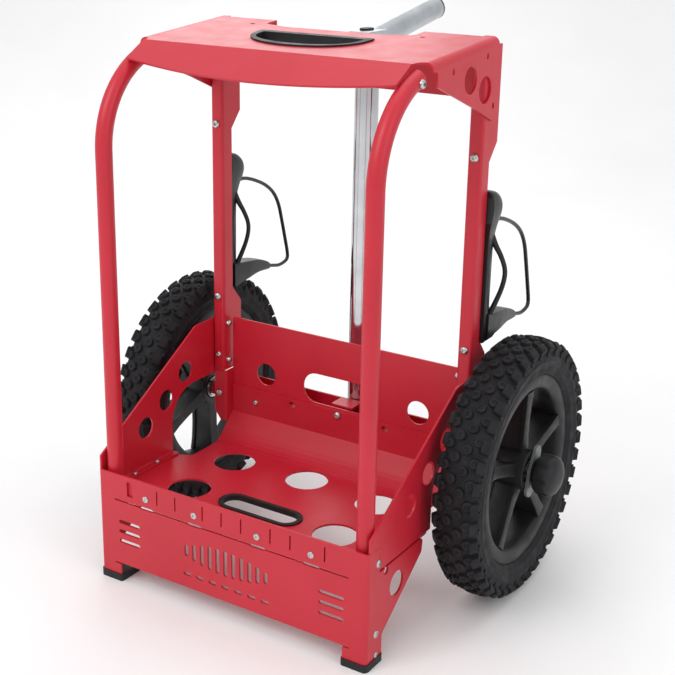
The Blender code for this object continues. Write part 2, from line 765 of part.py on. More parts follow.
def make_tyre():
    """The right tyre, out to the tops of its tread blocks."""
    body = TYRE_HALF_WIDTH
    bead, crown = 102.0, TYRE_RADIUS
    half_profile = [
        (bead, 15.2), (RIM_RADIUS + 1.0, 15.2), (RIM_RADIUS + 3.0, 20.5), (122.0, body - 1.5), (133.0, body),
        (144.0, body - 1.0), (151.0, 19.0), (crown, 7.0),
    ]
    profile = [(r, WHEEL_X + x) for r, x in half_profile]
    profile += [(r, WHEEL_X - x) for r, x in half_profile[::-1]]
    return lathe(profile, "X", (AXLE_Y, AXLE_Z), 40)


def make_axle_tube():
    tube = ring_along_x(AXLE_RADIUS + GAP, 9.5, -205.0, 205.0, 24)
    return tube


def make_axle_rod():
    return lathe([(0.0, -263.0), (AXLE_RADIUS, -263.0), (AXLE_RADIUS, 263.0), (0.0, 263.0)],
                 "X", (AXLE_Y, AXLE_Z), 24)


def make_hub_plate():
    """The right lock plate: a round plate with two ears, behind the knob."""
    round_plate = ring_along_x(AXLE_RADIUS + GAP, 17.0, HUB_OUTER + GAP, HUB_OUTER + 4.5)
    ears = []
    for sign in (-1, 1):
        centre = (AXLE_Y + sign * 8.0, AXLE_Z + sign * 20.0)
        ears.append(prism(circle(*centre, 9.0, 16), "X", HUB_OUTER + GAP, HUB_OUTER + 4.5))
    return join(round_plate, *ears)


def make_knob():
    """The right wheel knob: a domed grip with flutes, screwed on the axle's end."""
    base = HUB_OUTER + 4.8
    profile = [(0.0, base), (18.0, base), (22.0, base + 3.0), (24.5, base + 9.0), (24.5, base + 20.0)]
    for turn in (0.35, 0.75, 1.15):
        profile.append((24.5 * math.cos(turn) ** 0.8, base + 20.0 + 13.0 * math.sin(turn)))
    profile.append((0.0, base + 33.0))
    knob = lathe(profile, "X", (AXLE_Y, AXLE_Z), 24)
    flutes = []
    for i in range(8):
        turn = math.tau * (i + 0.5) / 8
        centre = (AXLE_Y + 29.0 * math.cos(turn), AXLE_Z + 29.0 * math.sin(turn))
        flutes.append(circle(*centre, 6.2, 10))
    bore = prism(circle(AXLE_Y, AXLE_Z, AXLE_RADIUS + GAP, 24), "X", base - 5.0, 263.0 + GAP)
    return cut(knob, prisms(flutes, "X", base - 2.0, base + 19.0), bore)


# ---------------------------------------------------------------- telescoping handle

def make_outer_tube():
    """The chrome tube, with a shallow guide groove and a lock hole for the plunger inside."""
    bore = HANDLE_RADIUS - 2.0
    profile = [(bore, 132.0), (HANDLE_RADIUS, 132.0), (HANDLE_RADIUS, TUBE_MOUTH), (bore, TUBE_MOUTH)]
    tube = lathe(profile, "Z", (0.0, HANDLE_Y), 32)
    groove = box(-3.0, 3.0, HANDLE_Y + bore - 3.0, HANDLE_Y + bore + 1.1, 140.0, 580.0)
    lock_hole = prism(circle(0.0, LOCK_Z, 2.6, 12), "Y", HANDLE_Y + 5.0, HANDLE_Y + 20.0)
    return cut(tube, groove, lock_hole)


def make_clamp():
    """A strap round the tube, bolted to the axle channel's back."""
    wall = 268.3 + GAP
    radius = HANDLE_RADIUS + GAP
    outer = radius + SHEET
    strap = lathe([(radius, 142.0), (outer, 142.0), (outer, 168.0), (radius, 168.0)], "Z", (0.0, HANDLE_Y), 28)
    ears = box(-34.0, 34.0, wall, wall + SHEET, 142.0, 168.0)
    join(strap, ears)
    front = box(-60.0, 60.0, HANDLE_Y - 40.0, wall, 130.0, 180.0)
    bore = prism(circle(0.0, HANDLE_Y, radius, 28), "Z", 130.0, 180.0)
    return cut(strap, front, bore)


def make_upper_bracket():
    """A shelf on the seat's rear flange that the chrome tube passes through."""
    wall = BACK_FACE + SHEET + GAP
    section = folded([(wall, 606.0), (wall, 583.0), (307.0, 583.0)], (4.0,), side=1)
    bracket = prism(section, "X", -24.0, 24.0)
    return cut(bracket, prism(circle(0.0, HANDLE_Y, HANDLE_RADIUS + GAP, 40), "Z", 570.0, 600.0))


def make_collar():
    """A plastic guide bush in the mouth of the chrome tube."""
    bore = HANDLE_RADIUS - 2.0
    profile = [
        (11.6, TUBE_MOUTH - 10.0), (bore - GAP, TUBE_MOUTH - 10.0), (bore - GAP, TUBE_MOUTH + GAP),
        (HANDLE_RADIUS + 0.6, TUBE_MOUTH + GAP), (HANDLE_RADIUS + 0.6, HEAD_BOTTOM - 0.5),
        (11.6, HEAD_BOTTOM - 0.5),
    ]
    return lathe(profile, "Z", (0.0, HANDLE_Y), 32)


INNER_RADIUS = 11.3
SOCKET_TOP = 622.0


def make_inner_tube():
    tube = lathe([(9.6, 190.0), (INNER_RADIUS, 190.0), (INNER_RADIUS, SOCKET_TOP), (9.6, SOCKET_TOP)],
                 "Z", (0.0, HANDLE_Y), 32)
    hole = prism(circle(0.0, LOCK_Z, 2.6, 12), "Y", HANDLE_Y + 2.0, HANDLE_Y + 20.0)
    return cut(tube, hole)


def grip_frame():
    """Turns a piece drawn along +Y from the origin into the grip's place and slope."""
    return Matrix.Translation((0.0, HANDLE_Y, HEAD_TOP - 14.6)) @ Matrix.Rotation(GRIP_SLOPE, 4, "X")


def make_head():
    """The cast elbow that joins the inner tube to the grip, with a seat for the button."""
    side = fillet(
        [(258.0, HEAD_BOTTOM), (304.0, HEAD_BOTTOM), (304.0, HEAD_TOP), (258.0, HEAD_TOP)], [9, 2, 3, 9], 4
    )
    head = prism(side, "X", -16.0, 16.0)
    plan = fillet([(-16.0, 258.0), (16.0, 258.0), (16.0, 310.0), (-16.0, 310.0)], [13, 13, 0, 0], 6)
    keep(head, prism(plan, "Z", 590.0, 660.0))
    spigot = lathe(
        [
            (0.0, 8.0), (GRIP_RADIUS, 8.0), (GRIP_RADIUS, GRIP_START - GAP), (GRIP_RADIUS - 2.3, GRIP_START - GAP),
            (GRIP_RADIUS - 2.3, 34.0), (0.0, 34.0),
        ],
        "Y", (0.0, 0.0), 36,
    )
    spigot.data.transform(grip_frame())
    join(head, spigot)
    tube_socket = prism(circle(0.0, HANDLE_Y, INNER_RADIUS + GAP, 32), "Z", 600.0, SOCKET_TOP + GAP)
    rod_way = prism(circle(0.0, HANDLE_Y, 3.2, 12), "Z", 600.0, 640.0)
    button_seat = prism(stadium_y(0.0, HANDLE_Y - 4.0, 21.6, 12.6), "Z", HEAD_TOP - 5.0, HEAD_TOP + 5.0)
    return cut(head, tube_socket, rod_way, button_seat)


def stadium_y(cx, cy, length, width):
    """A slot outline in plan, long along Y."""
    return [(cx + a, cy + b) for b, a in stadium(0.0, 0.0, length, width, 20)]


def make_grip():
    start, end = GRIP_START, GRIP_START + GRIP_LENGTH
    grip = lathe([(GRIP_RADIUS - 2.0, start), (GRIP_RADIUS, start), (GRIP_RADIUS, end), (GRIP_RADIUS - 2.0, end)],
                 "Y", (0.0, 0.0), 36)
    grip.data.transform(grip_frame())
    return grip


def make_grip_cap():
    end = GRIP_START + GRIP_LENGTH
    profile = [
        (0.0, end - 8.0), (GRIP_RADIUS - 2.3, end - 8.0), (GRIP_RADIUS - 2.3, end + GAP),
        (GRIP_RADIUS + 0.4, end + GAP), (GRIP_RADIUS + 0.4, end + 2.2), (GRIP_RADIUS - 1.6, end + 3.2),
        (0.0, end + 3.4),
    ]
    cap = lathe(profile, "Y", (0.0, 0.0), 36)
    cap.data.transform(grip_frame())
    return cap


def make_button():
    """The release button in the head's top; it rests on its rod."""
    button = prism(stadium_y(0.0, HANDLE_Y - 4.0, 21.0, 12.0), "Z", HEAD_TOP - 1.2, HEAD_TOP + 2.4)
    return button


def make_release_rod():
    """The rod inside the inner tube, from the button down to its wedge end on the plunger."""
    low, top = LOCK_Z - 6.0, HEAD_TOP - 1.5
    rod = lathe([(0.0, low), (2.6, low), (2.6, top), (0.0, top)], "Z", (0.0, HANDLE_Y), 12)
    return cut(rod, wedge_space(-0.4))


WEDGE = 3.0                # height of the 45 degree wedge face on the handle's axis, above the plunger's


def wedge_space(raise_by):
    """Everything below the 45 degree face that turns the rod's travel into the plunger's."""
    face = LOCK_Z + WEDGE - raise_by
    reach = 20.0
    outline = [
        (HANDLE_Y - reach, face + reach), (HANDLE_Y + reach, face - reach), (HANDLE_Y - reach, face - reach),
    ]
    return prism(outline, "X", -10.0, 10.0)


def make_plunger():
    """The lock plunger, in the inner tube's foot; its tip lies in the chrome tube's groove."""
    tip = HANDLE_RADIUS - 2.0 + 0.7
    notch_wall = BUTTON_TRAVEL + 3.0
    profile = [(0.0, HANDLE_Y - 4.0), (4.4, HANDLE_Y - 4.0), (4.4, HANDLE_Y + 8.0), (2.2, HANDLE_Y + 8.0),
               (2.2, HANDLE_Y + tip), (0.0, HANDLE_Y + tip)]
    plunger = lathe(profile, "Y", (0.0, LOCK_Z), 16)
    face = LOCK_Z + WEDGE
    notch = [(HANDLE_Y - 9.0, face + 9.0), (HANDLE_Y + notch_wall, face - notch_wall),
             (HANDLE_Y + notch_wall, face + 9.0)]
    return cut(plunger, prism(notch, "X", -3.2, 3.2))


# ---------------------------------------------------------------- bottle cages

def make_cage():
    """The right bottle cage: a spine with a round head, two side arms and a foot for the bottle."""
    front = CAGE_FRONT
    side_view = fillet(
        [
            (front, 302.0), (258.0, 302.0), (262.0, 330.0), (262.0, 436.0), (275.0, 449.0), (278.0, 462.0),
            (268.0, 477.0), (254.0, 481.0), (front, 476.0),
        ],
        [0, 0, 20, 10, 8, 12, 10, 8, 3], 3,
    )
    front_view = fillet(
        [
            (CAGE_X - 8.5, 298.0), (CAGE_X + 8.5, 298.0), (CAGE_X + 8.5, 430.0), (CAGE_X + 14.0, 458.0),
            (CAGE_X + 11.0, 482.0), (CAGE_X - 11.0, 482.0), (CAGE_X - 14.0, 458.0), (CAGE_X - 8.5, 430.0),
        ],
        [3, 3, 20, 14, 10, 10, 14, 20], 4,
    )
    plan = [
        (CAGE_X - 15.0, 238.0), (CAGE_X + 15.0, 238.0), (CAGE_X + 14.0, 252.0), (CAGE_X + 10.0, 268.0),
        (CAGE_X + 4.0, 280.0), (CAGE_X - 4.0, 280.0), (CAGE_X - 10.0, 268.0), (CAGE_X - 14.0, 252.0),
    ]
    cage = prism(side_view, "X", 150.0, 200.0)
    keep(cage, prism(front_view, "Y", 230.0, 300.0), prism(plan, "Z", 280.0, 490.0))
    shoulder = [(front + 4, 446.0), (256.0, 440.0), (265.0, 410.0), (261.0, 404.0), (front + 4, 412.0)]
    foot = fillet(
        [
            (front + 1, 336.0), (282.0, 333.0), (331.0, 319.5), (336.0, 316.0), (335.0, 307.5),
            (300.0, 309.5), (292.0, 306.0), (270.0, 304.0), (258.0, 302.0), (front + 1, 302.0),
        ],
        [0, 4, 4, 2, 3, 4, 3, 3, 0, 0], 3,
    )
    foot_plan = [
        (CAGE_X - 12.0, 238.0), (CAGE_X + 12.0, 238.0), (CAGE_X + 12.0, 280.0), (CAGE_X + 6.5, 340.0),
        (CAGE_X - 6.5, 340.0), (CAGE_X - 12.0, 280.0),
    ]
    join(
        cage,
        prism(shoulder, "X", CAGE_X - 10.5, CAGE_X + 10.5),
        keep(prism(foot, "X", 150.0, 200.0), prism(foot_plan, "Z", 280.0, 345.0)),
        *[make_cage_arm(sign) for sign in (-1, 1)],
    )
    post_step = [(230.0, 285.0), (260.5, 285.0), (241.5, 307.3), (230.0, 307.3)]
    return cut(cage, prism(post_step, "X", 150.0, 200.0), rod_bar(ROD_RADIUS + GAP))


def make_cage_arm(sign):
    """A side arm that leaves the shoulder, bulges round the bottle and comes back to the spine."""
    stations = [
        (4.0, 252.0, 434.0), (9.0, 257.0, 420.0), (15.0, 262.5, 408.0), (19.0, 266.5, 396.0), (20.0, 267.5, 386.0),
        (18.0, 265.5, 372.0), (13.0, 261.5, 356.0), (8.0, 257.5, 342.0), (4.0, 254.0, 328.0),
    ]
    return sweep([(CAGE_X + sign * x, y, z) for x, y, z in stations], 3.0, 8)


ROD_RADIUS = 2.4


def rod_route():
    """The cage's wire loop: out of the head, back, down, and forward into the foot."""
    corners = [(258.0, 430.0), (300.0, 440.0), (349.0, 417.0), (357.0, 375.0), (380.0, 298.0), (328.0, 312.0)]
    return [(CAGE_X, y, z) for y, z in fillet(corners, [0, 30, 28, 60, 12, 0], 4)]


def rod_bar(radius):
    return sweep(rod_route(), radius, 8)


# ---------------------------------------------------------------- the cart

def make_fasteners(steel):
    for i, (x, z) in enumerate(PANEL_SCREWS):
        screw = aimed(button_bolt(7.5, 4.0, 1.2), (0.0, -1.0, 0.0), (x, -GAP, z))
        place(screw, f"panel_screw_{i + 1}", steel)
    for i, z in enumerate(POST_BOLTS):
        bolt = aimed(button_bolt(9.0, 4.8, 3.2), (0.0, -1.0, 0.0), (POST_BOLT_X, POST_FRONT - GAP, z))
        place_pair(bolt, f"post_bolt_{i + 1}", steel)
    tube_bolt = aimed(button_bolt(6.0, 4.8, 3.0), (1.0, 0.0, 0.0), (TUBE_X + TUBE_RADIUS + GAP, *TUBE_BOLT))
    place_pair(tube_bolt, "tube_bolt", steel)
    back_bolt = aimed(
        button_bolt(10.0, 4.8, 3.2), (0.0, -1.0, 0.0),
        (BACK_BOLT[0], BACK_FACE - SHEET - 2 * GAP, BACK_BOLT[1]),
    )
    place(back_bolt, "rear_plate_bolt", steel)


def main():
    clear_scene()
    red = make_material("red_powder_coat", (0.60, 0.025, 0.045), 0.42)
    steel = make_material("zinc_steel", (0.62, 0.62, 0.60), 0.3, 1.0)
    chrome = make_material("chrome", (0.80, 0.80, 0.82), 0.1, 1.0)
    aluminium = make_material("satin_aluminium", (0.66, 0.68, 0.69), 0.38, 1.0)
    rubber = make_material("black_rubber", (0.018, 0.018, 0.019), 0.75)
    plastic = make_material("black_plastic", (0.022, 0.023, 0.026), 0.45)
    grey = make_material("grey_plastic", (0.20, 0.21, 0.21), 0.4)

    place(make_front_panel(), "front_panel", red)
    place(make_floor_plate(), "floor_plate", red)
    place_pair(make_side_plate(), "side_plate", red)
    place(make_rear_plate(), "rear_plate", red)
    place(make_axle_channel(), "axle_channel", red)
    place(make_seat_plate(), "seat_plate", red)
    place_pair(make_post(), "rear_post", red)
    place_pair(make_front_tube(), "front_tube", red)
    place_pair(make_axle_bracket(), "axle_bracket", red)
    place_pair(make_foot_cap(), "foot_cap", rubber)
    place(make_seat_trim(), "seat_hole_trim", rubber)
    place(make_floor_trim(), "floor_slot_trim", rubber)

    axle_line = (WHEEL_X, AXLE_Y, AXLE_Z)
    place(make_axle_tube(), "axle_tube", red, (0.0, AXLE_Y, AXLE_Z))
    place(make_axle_rod(), "axle_rod", steel, (0.0, AXLE_Y, AXLE_Z))
    place_pair(ring_along_x(AXLE_RADIUS + GAP, 12.5, 205.3, 208.3), "hub_washer", chrome)
    # At rest the left wheel stands half a spoke's pitch on from the right one.
    right_rim = make_rim()
    left_rim = turned(mirrored(right_rim), math.pi / 5, (AXLE_Y, AXLE_Z))
    place(right_rim, "wheel_rim_right", plastic, axle_line)
    place(left_rim, "wheel_rim_left", plastic, (-WHEEL_X, AXLE_Y, AXLE_Z))
    place_pair(make_tyre(), "tyre", rubber, axle_line)
    for name, low in (("inner", HUB_INNER + 0.1), ("outer", HUB_OUTER - BEARING_WIDTH)):
        bearing = ring_along_x(AXLE_RADIUS + GAP, BEARING_RADIUS, low, low + BEARING_WIDTH - 0.1, 24)
        place_pair(bearing, f"bearing_{name}", steel, axle_line)
    place_pair(make_hub_plate(), "hub_plate", grey, axle_line)
    place_pair(make_knob(), "wheel_knob", plastic, axle_line)

    handle = (0.0, HANDLE_Y, HEAD_TOP)
    place(make_outer_tube(), "handle_outer_tube", chrome, handle)
    place(make_clamp(), "handle_clamp", red, handle)
    place(make_upper_bracket(), "handle_upper_bracket", red, handle)
    place(make_collar(), "handle_collar", plastic, handle)
    place(make_inner_tube(), "handle_inner_tube", aluminium, handle)
    place(make_head(), "handle_head", aluminium, handle)
    place(make_grip(), "handle_grip", aluminium, handle)
    place(make_grip_cap(), "grip_end_cap", rubber, handle)
    place(make_button(), "handle_button", plastic, handle)
    place(make_release_rod(), "release_rod", steel, handle)
    place(make_plunger(), "lock_plunger", steel, (0.0, HANDLE_Y, LOCK_Z))

    place_pair(make_cage(), "bottle_cage", plastic)
    place_pair(rod_bar(ROD_RADIUS), "cage_rod", plastic)
    make_fasteners(steel)


main()
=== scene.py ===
"""Looks of the two-wheeled disc golf cart: satin red powder coat on folded sheet, chrome and aluminium
handle, knobby tyres on deep-spoked rims, bottle cages and socket-head fasteners.

Metres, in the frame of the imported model: +Z up, the front faces -Y, the axle runs along X."""

import math

import bmesh
import bpy
from mathutils import Matrix, Vector


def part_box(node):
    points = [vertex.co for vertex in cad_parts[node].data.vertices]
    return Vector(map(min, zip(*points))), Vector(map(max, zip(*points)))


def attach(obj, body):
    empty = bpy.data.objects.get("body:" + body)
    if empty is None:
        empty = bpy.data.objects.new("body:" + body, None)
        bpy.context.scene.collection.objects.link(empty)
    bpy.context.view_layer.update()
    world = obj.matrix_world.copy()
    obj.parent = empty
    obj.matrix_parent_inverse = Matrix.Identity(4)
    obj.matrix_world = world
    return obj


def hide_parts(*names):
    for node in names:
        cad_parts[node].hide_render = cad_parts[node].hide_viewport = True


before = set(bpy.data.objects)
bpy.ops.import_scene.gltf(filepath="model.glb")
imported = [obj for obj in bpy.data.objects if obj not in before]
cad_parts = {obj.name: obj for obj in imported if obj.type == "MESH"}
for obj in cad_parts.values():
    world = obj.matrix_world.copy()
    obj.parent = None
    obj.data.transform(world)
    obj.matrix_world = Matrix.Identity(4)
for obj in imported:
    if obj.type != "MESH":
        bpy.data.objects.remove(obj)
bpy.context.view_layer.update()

MM = 0.001
SIDES = ("right", "left")
SIGN = {"right": 1.0, "left": -1.0}


# ---------------------------------------------------------------- materials

def srgb(*levels):
    """0-255 display levels as linear colour."""
    return tuple(
        (v / 255 / 12.92) if v <= 10 else ((v / 255 + 0.055) / 1.055) ** 2.4 for v in levels
    )


class Surface:
    """A node material being built: a Principled shader with a few procedural layers."""

    def __init__(self, name, roughness, metallic=0.0, specular=0.5):
        self.material = bpy.data.materials.new(name)
        self.material.use_nodes = True
        self.nodes = self.material.node_tree.nodes
        self.links = self.material.node_tree.links
        self.shader = self.nodes["Principled BSDF"]
        self.shader.inputs["Roughness"].default_value = roughness
        self.shader.inputs["Metallic"].default_value = metallic
        self.shader.inputs["Specular IOR Level"].default_value = specular
        self.coordinates = self.nodes.new("ShaderNodeTexCoord").outputs["Object"]
        self.normal = None

    def noise(self, scale, detail=3.0, stretch=(1.0, 1.0, 1.0)):
        mapping = self.nodes.new("ShaderNodeMapping")
        mapping.inputs["Scale"].default_value = stretch
        self.links.new(self.coordinates, mapping.inputs["Vector"])
        noise = self.nodes.new("ShaderNodeTexNoise")
        noise.inputs["Scale"].default_value = scale
        noise.inputs["Detail"].default_value = detail
        self.links.new(mapping.outputs["Vector"], noise.inputs["Vector"])
        return noise.outputs["Fac"]

    def spread(self, value, low, high, from_low=0.3, from_high=0.7):
        scaled = self.nodes.new("ShaderNodeMapRange")
        scaled.inputs["From Min"].default_value = from_low
        scaled.inputs["From Max"].default_value = from_high
        scaled.inputs["To Min"].default_value = low
        scaled.inputs["To Max"].default_value = high
        self.links.new(value, scaled.inputs["Value"])
        return scaled.outputs["Result"]

    def colours(self, value, dark, light, from_low=0.3, from_high=0.7):
        mix = self.nodes.new("ShaderNodeMix")
        mix.data_type = "RGBA"
        mix.inputs["A"].default_value = (*dark, 1.0)
        mix.inputs["B"].default_value = (*light, 1.0)
        self.links.new(self.spread(value, 0.0, 1.0, from_low, from_high), mix.inputs["Factor"])
        self.links.new(mix.outputs["Result"], self.shader.inputs["Base Color"])

    def roughness(self, value, low, high):
        self.links.new(self.spread(value, low, high), self.shader.inputs["Roughness"])

    def bump(self, value, height_mm, strength=1.0):
        bump = self.nodes.new("ShaderNodeBump")
        bump.inputs["Strength"].default_value = strength
        bump.inputs["Distance"].default_value = height_mm * MM
        self.links.new(value, bump.inputs["Height"])
        if self.normal is not None:
            self.links.new(self.normal, bump.inputs["Normal"])
        self.normal = bump.outputs["Normal"]
        self.links.new(self.normal, self.shader.inputs["Normal"])

    def set(self, **values):
        for socket, value in values.items():
            self.shader.inputs[socket.replace("_", " ")].default_value = value


def powder_coat():
    """Satin powder coat: orange-peel ripple, faint mottling and uneven gloss."""
    s = Surface("powder_coat_red", 0.4, specular=0.45)
    s.colours(s.noise(9.0, 4.0), srgb(190, 24, 44), srgb(200, 31, 51))
    s.roughness(s.noise(38.0, 3.0), 0.36, 0.46)
    s.bump(s.noise(620.0, 2.0), 0.02, 0.5)
    s.bump(s.noise(160.0, 2.0), 0.05, 0.35)
    s.set(Coat_Weight=0.12, Coat_Roughness=0.3)
    return s.material


def chrome():
    """Plated steel tube with faint lengthwise drawing marks and a few smudges."""
    s = Surface("chrome_plate", 0.1, metallic=1.0)
    s.colours(s.noise(30.0, 3.0), srgb(192, 194, 197), srgb(210, 212, 215))
    s.roughness(s.noise(24.0, 4.0, (1.0, 1.0, 0.3)), 0.07, 0.2)
    s.bump(s.noise(900.0, 2.0, (1.0, 1.0, 0.02)), 0.01, 0.3)
    return s.material


def aluminium():
    """Anodised aluminium with a fine grain."""
    s = Surface("satin_aluminium", 0.36, metallic=1.0)
    s.colours(s.noise(40.0, 3.0), srgb(184, 189, 193), srgb(202, 206, 210))
    s.roughness(s.noise(60.0, 3.0), 0.3, 0.44)
    s.bump(s.noise(1500.0, 2.0), 0.008, 0.5)
    return s.material


def zinc_steel():
    """Zinc-plated fasteners."""
    s = Surface("zinc_steel", 0.28, metallic=1.0)
    s.colours(s.noise(300.0, 3.0), srgb(176, 178, 178), srgb(214, 214, 210))
    s.roughness(s.noise(400.0, 3.0), 0.2, 0.36)
    s.bump(s.noise(1200.0, 2.0), 0.01, 0.4)
    return s.material


def tyre_rubber():
    """Tread rubber: near black with faint dusty patches and fine moulding grain."""
    s = Surface("tyre_rubber", 0.72, specular=0.32)
    s.colours(s.noise(55.0, 5.0), srgb(20, 20, 23), srgb(33, 32, 36), 0.35, 0.75)
    s.roughness(s.noise(90.0, 3.0), 0.6, 0.82)
    s.bump(s.noise(700.0, 3.0), 0.06, 0.6)
    return s.material


def trim_rubber():
    """Smooth extruded edge trim and the rubber feet."""
    s = Surface("trim_rubber", 0.5, specular=0.4)
    s.colours(s.noise(60.0, 3.0), srgb(18, 18, 20), srgb(28, 28, 30))
    s.roughness(s.noise(80.0, 3.0), 0.42, 0.62)
    s.bump(s.noise(500.0, 2.0), 0.02, 0.5)
    return s.material


def black_plastic():
    """Moulded black nylon with a fine spark-eroded grain."""
    s = Surface("black_nylon", 0.5, specular=0.42)
    s.colours(s.noise(22.0, 3.0), srgb(15, 16, 19), srgb(23, 24, 27))
    s.roughness(s.noise(50.0, 3.0), 0.4, 0.58)
    s.bump(s.noise(1400.0, 2.0), 0.025, 0.6)
    return s.material


def glossy_plastic():
    """The smoother black plastic of the bottle cages."""
    s = Surface("black_cage_plastic", 0.36, specular=0.45)
    s.colours(s.noise(30.0, 3.0), srgb(15, 18, 20), srgb(22, 25, 27))
    s.roughness(s.noise(70.0, 3.0), 0.28, 0.44)
    s.bump(s.noise(900.0, 2.0), 0.01, 0.5)
    return s.material


def black_wire():
    """Black-painted alloy rod."""
    s = Surface("black_wire", 0.28, specular=0.5)
    s.colours(s.noise(60.0, 3.0), srgb(20, 19, 19), srgb(28, 26, 26))
    s.roughness(s.noise(150.0, 3.0), 0.2, 0.36)
    s.bump(s.noise(1000.0, 2.0), 0.01, 0.4)
    return s.material


def grey_plastic():
    """The grey die-cast lock plate behind each knob."""
    s = Surface("grey_lock_plate", 0.45, metallic=0.35)
    s.colours(s.noise(150.0, 4.0), srgb(112, 116, 116), srgb(134, 137, 136))
    s.roughness(s.noise(200.0, 3.0), 0.36, 0.55)
    s.bump(s.noise(1600.0, 3.0), 0.03, 0.7)
    return s.material


def floor_material():
    s = Surface("studio_floor", 0.6, specular=0.2)
    s.colours(s.noise(3.0, 3.0), srgb(246, 246, 247), srgb(250, 250, 250))
    return s.material


RED = powder_coat()
CHROME = chrome()
ALUMINIUM = aluminium()
STEEL = zinc_steel()
TYRE = tyre_rubber()
TRIM = trim_rubber()
NYLON = black_plastic()
CAGE = glossy_plastic()
WIRE = black_wire()
GREY = grey_plastic()


# ---------------------------------------------------------------- mesh helpers

def new_object(name, mesh_data, material, smooth_angle=40.0):
    bmesh.ops.recalc_face_normals(mesh_data, faces=mesh_data.faces)
    mesh = bpy.data.meshes.new(name)
    mesh_data.to_mesh(mesh)
    mesh_data.free()
    obj = bpy.data.objects.new(name, mesh)
    bpy.context.scene.collection.objects.link(obj)
    mesh.materials.append(material)
    mesh.shade_smooth()
    mesh.set_sharp_from_angle(angle=math.radians(smooth_angle))
    return obj


def settle(obj, body, *nodes):
    """The piece rides on the body and stands for the nodes."""
    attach(obj, body)
    if nodes:
        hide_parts(*nodes)
    return obj


def add_lathe(mesh_data, profile, sides, matrix, fluting=None):
    """Turns a closed (radius, distance along local Z) outline about local Z and places it by the matrix.

    fluting(angle, along) scales the radius, where the turned shape isn't round."""
    rings = []
    for radius, along in profile:
        if radius == 0:
            rings.append([mesh_data.verts.new(matrix @ Vector((0, 0, along)))])
            continue
        ring = []
        for i in range(sides):
            angle = math.tau * i / sides
            r = radius * fluting(angle, along) if fluting else radius
            point = Vector((r * math.cos(angle), r * math.sin(angle), along))
            ring.append(mesh_data.verts.new(matrix @ point))
        rings.append(ring)
    for i, ring in enumerate(rings):
        following = rings[(i + 1) % len(rings)]
        for k in range(sides):
            m = (k + 1) % sides
            if len(ring) == 1 and len(following) == 1:
                break
            if len(ring) == 1:
                mesh_data.faces.new((ring[0], following[k], following[m]))
            elif len(following) == 1:
                mesh_data.faces.new((ring[k], ring[m], following[0]))
            else:
                mesh_data.faces.new((ring[k], ring[m], following[m], following[k]))


def rounded_profile(corners, radius, steps=4):
    """Rounds each corner of a closed (radius, height) profile that isn't on the axis."""
    points = []
    for i, corner in enumerate(corners):
        here = Vector(corner)
        if here.x == 0:
            points.append(tuple(here))
            continue
        before, after = Vector(corners[i - 1]) - here, Vector(corners[(i + 1) % len(corners)]) - here
        cut = min(radius, before.length * 0.45, after.length * 0.45)
        start, end = here + before.normalized() * cut, here + after.normalized() * cut
        for k in range(steps + 1):
            t = k / steps
            points.append(tuple(start * (1 - t) ** 2 + here * (2 * t * (1 - t)) + end * t * t))
    return points


def along_x(x, y, z, sign=1.0):
    """Local Z points outwards along X, on the given side."""
    turn = Matrix.Rotation(math.radians(90) * sign, 4, "Y")
    return Matrix.Translation((x, y, z)) @ turn


def circle_points(radius, sides, along=0.0):
    """Points of a circle about local Z."""
    return [
        Vector((radius * math.cos(math.tau * k / sides), radius * math.sin(math.tau * k / sides), along))
        for k in range(sides)
    ]


def add_loft(mesh_data, rings):
    """Joins rings of equal count and closes both ends."""
    made = [[mesh_data.verts.new(point) for point in ring] for ring in rings]
    for ring, following in zip(made, made[1:]):
        for k in range(len(ring)):
            m = (k + 1) % len(ring)
            mesh_data.faces.new((ring[k], ring[m], following[m], following[k]))
    mesh_data.faces.new(made[0][::-1])
    mesh_data.faces.new(made[-1])


def add_tube(mesh_data, route, radius, sides, squeeze=None):
    """A round bar along a route; squeeze(i) gives (width, height) factors at point i."""
    points = [Vector(p) for p in route]
    side = None
    rings = []
    for i, point in enumerate(points):
        ahead = (points[min(i + 1, len(points) - 1)] - points[max(i - 1, 0)]).normalized()
        if side is None:
            side = ahead.cross(Vector((1, 0, 0)))
            side = side.normalized() if side.length > 0.1 else ahead.orthogonal().normalized()
        side = (side - ahead * side.dot(ahead)).normalized()
        other = ahead.cross(side)
        a, b = squeeze(i) if squeeze else (1.0, 1.0)
        rings.append([point + side * (a * c.x) + other * (b * c.y) for c in circle_points(radius, sides)])
    add_loft(mesh_data, rings)


def smooth_route(corners, per_span=8):
    """Catmull-Rom curve through the corners."""
    points = [Vector(c) for c in corners]
    padded = [points[0] * 2 - points[1], *points, points[-1] * 2 - points[-2]]
    route = []
    for i in range(1, len(padded) - 2):
        a, b, c, d = padded[i - 1:i + 3]
        for k in range(per_span):
            t = k / per_span
            route.append(0.5 * (
                2 * b + (c - a) * t + (2 * a - 5 * b + 4 * c - d) * t * t + (3 * b - a - 3 * c + d) * t ** 3
            ))
    route.append(points[-1])
    return route


def bevelled(obj, width_mm, segments=2, angle=35.0):
    """Small rounded edges on a mesh piece."""
    bevel = obj.modifiers.new("edges", "BEVEL")
    bevel.width = width_mm * MM
    bevel.segments = segments
    bevel.limit_method = "ANGLE"
    bevel.angle_limit = math.radians(angle)
    bevel.harden_normals = True
    return obj


# ---------------------------------------------------------------- the sheet-metal frame

def dress(node, material):
    """Gives a CAD node its material."""
    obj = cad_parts[node]
    obj.data.materials.clear()
    obj.data.materials.append(material)
    return obj


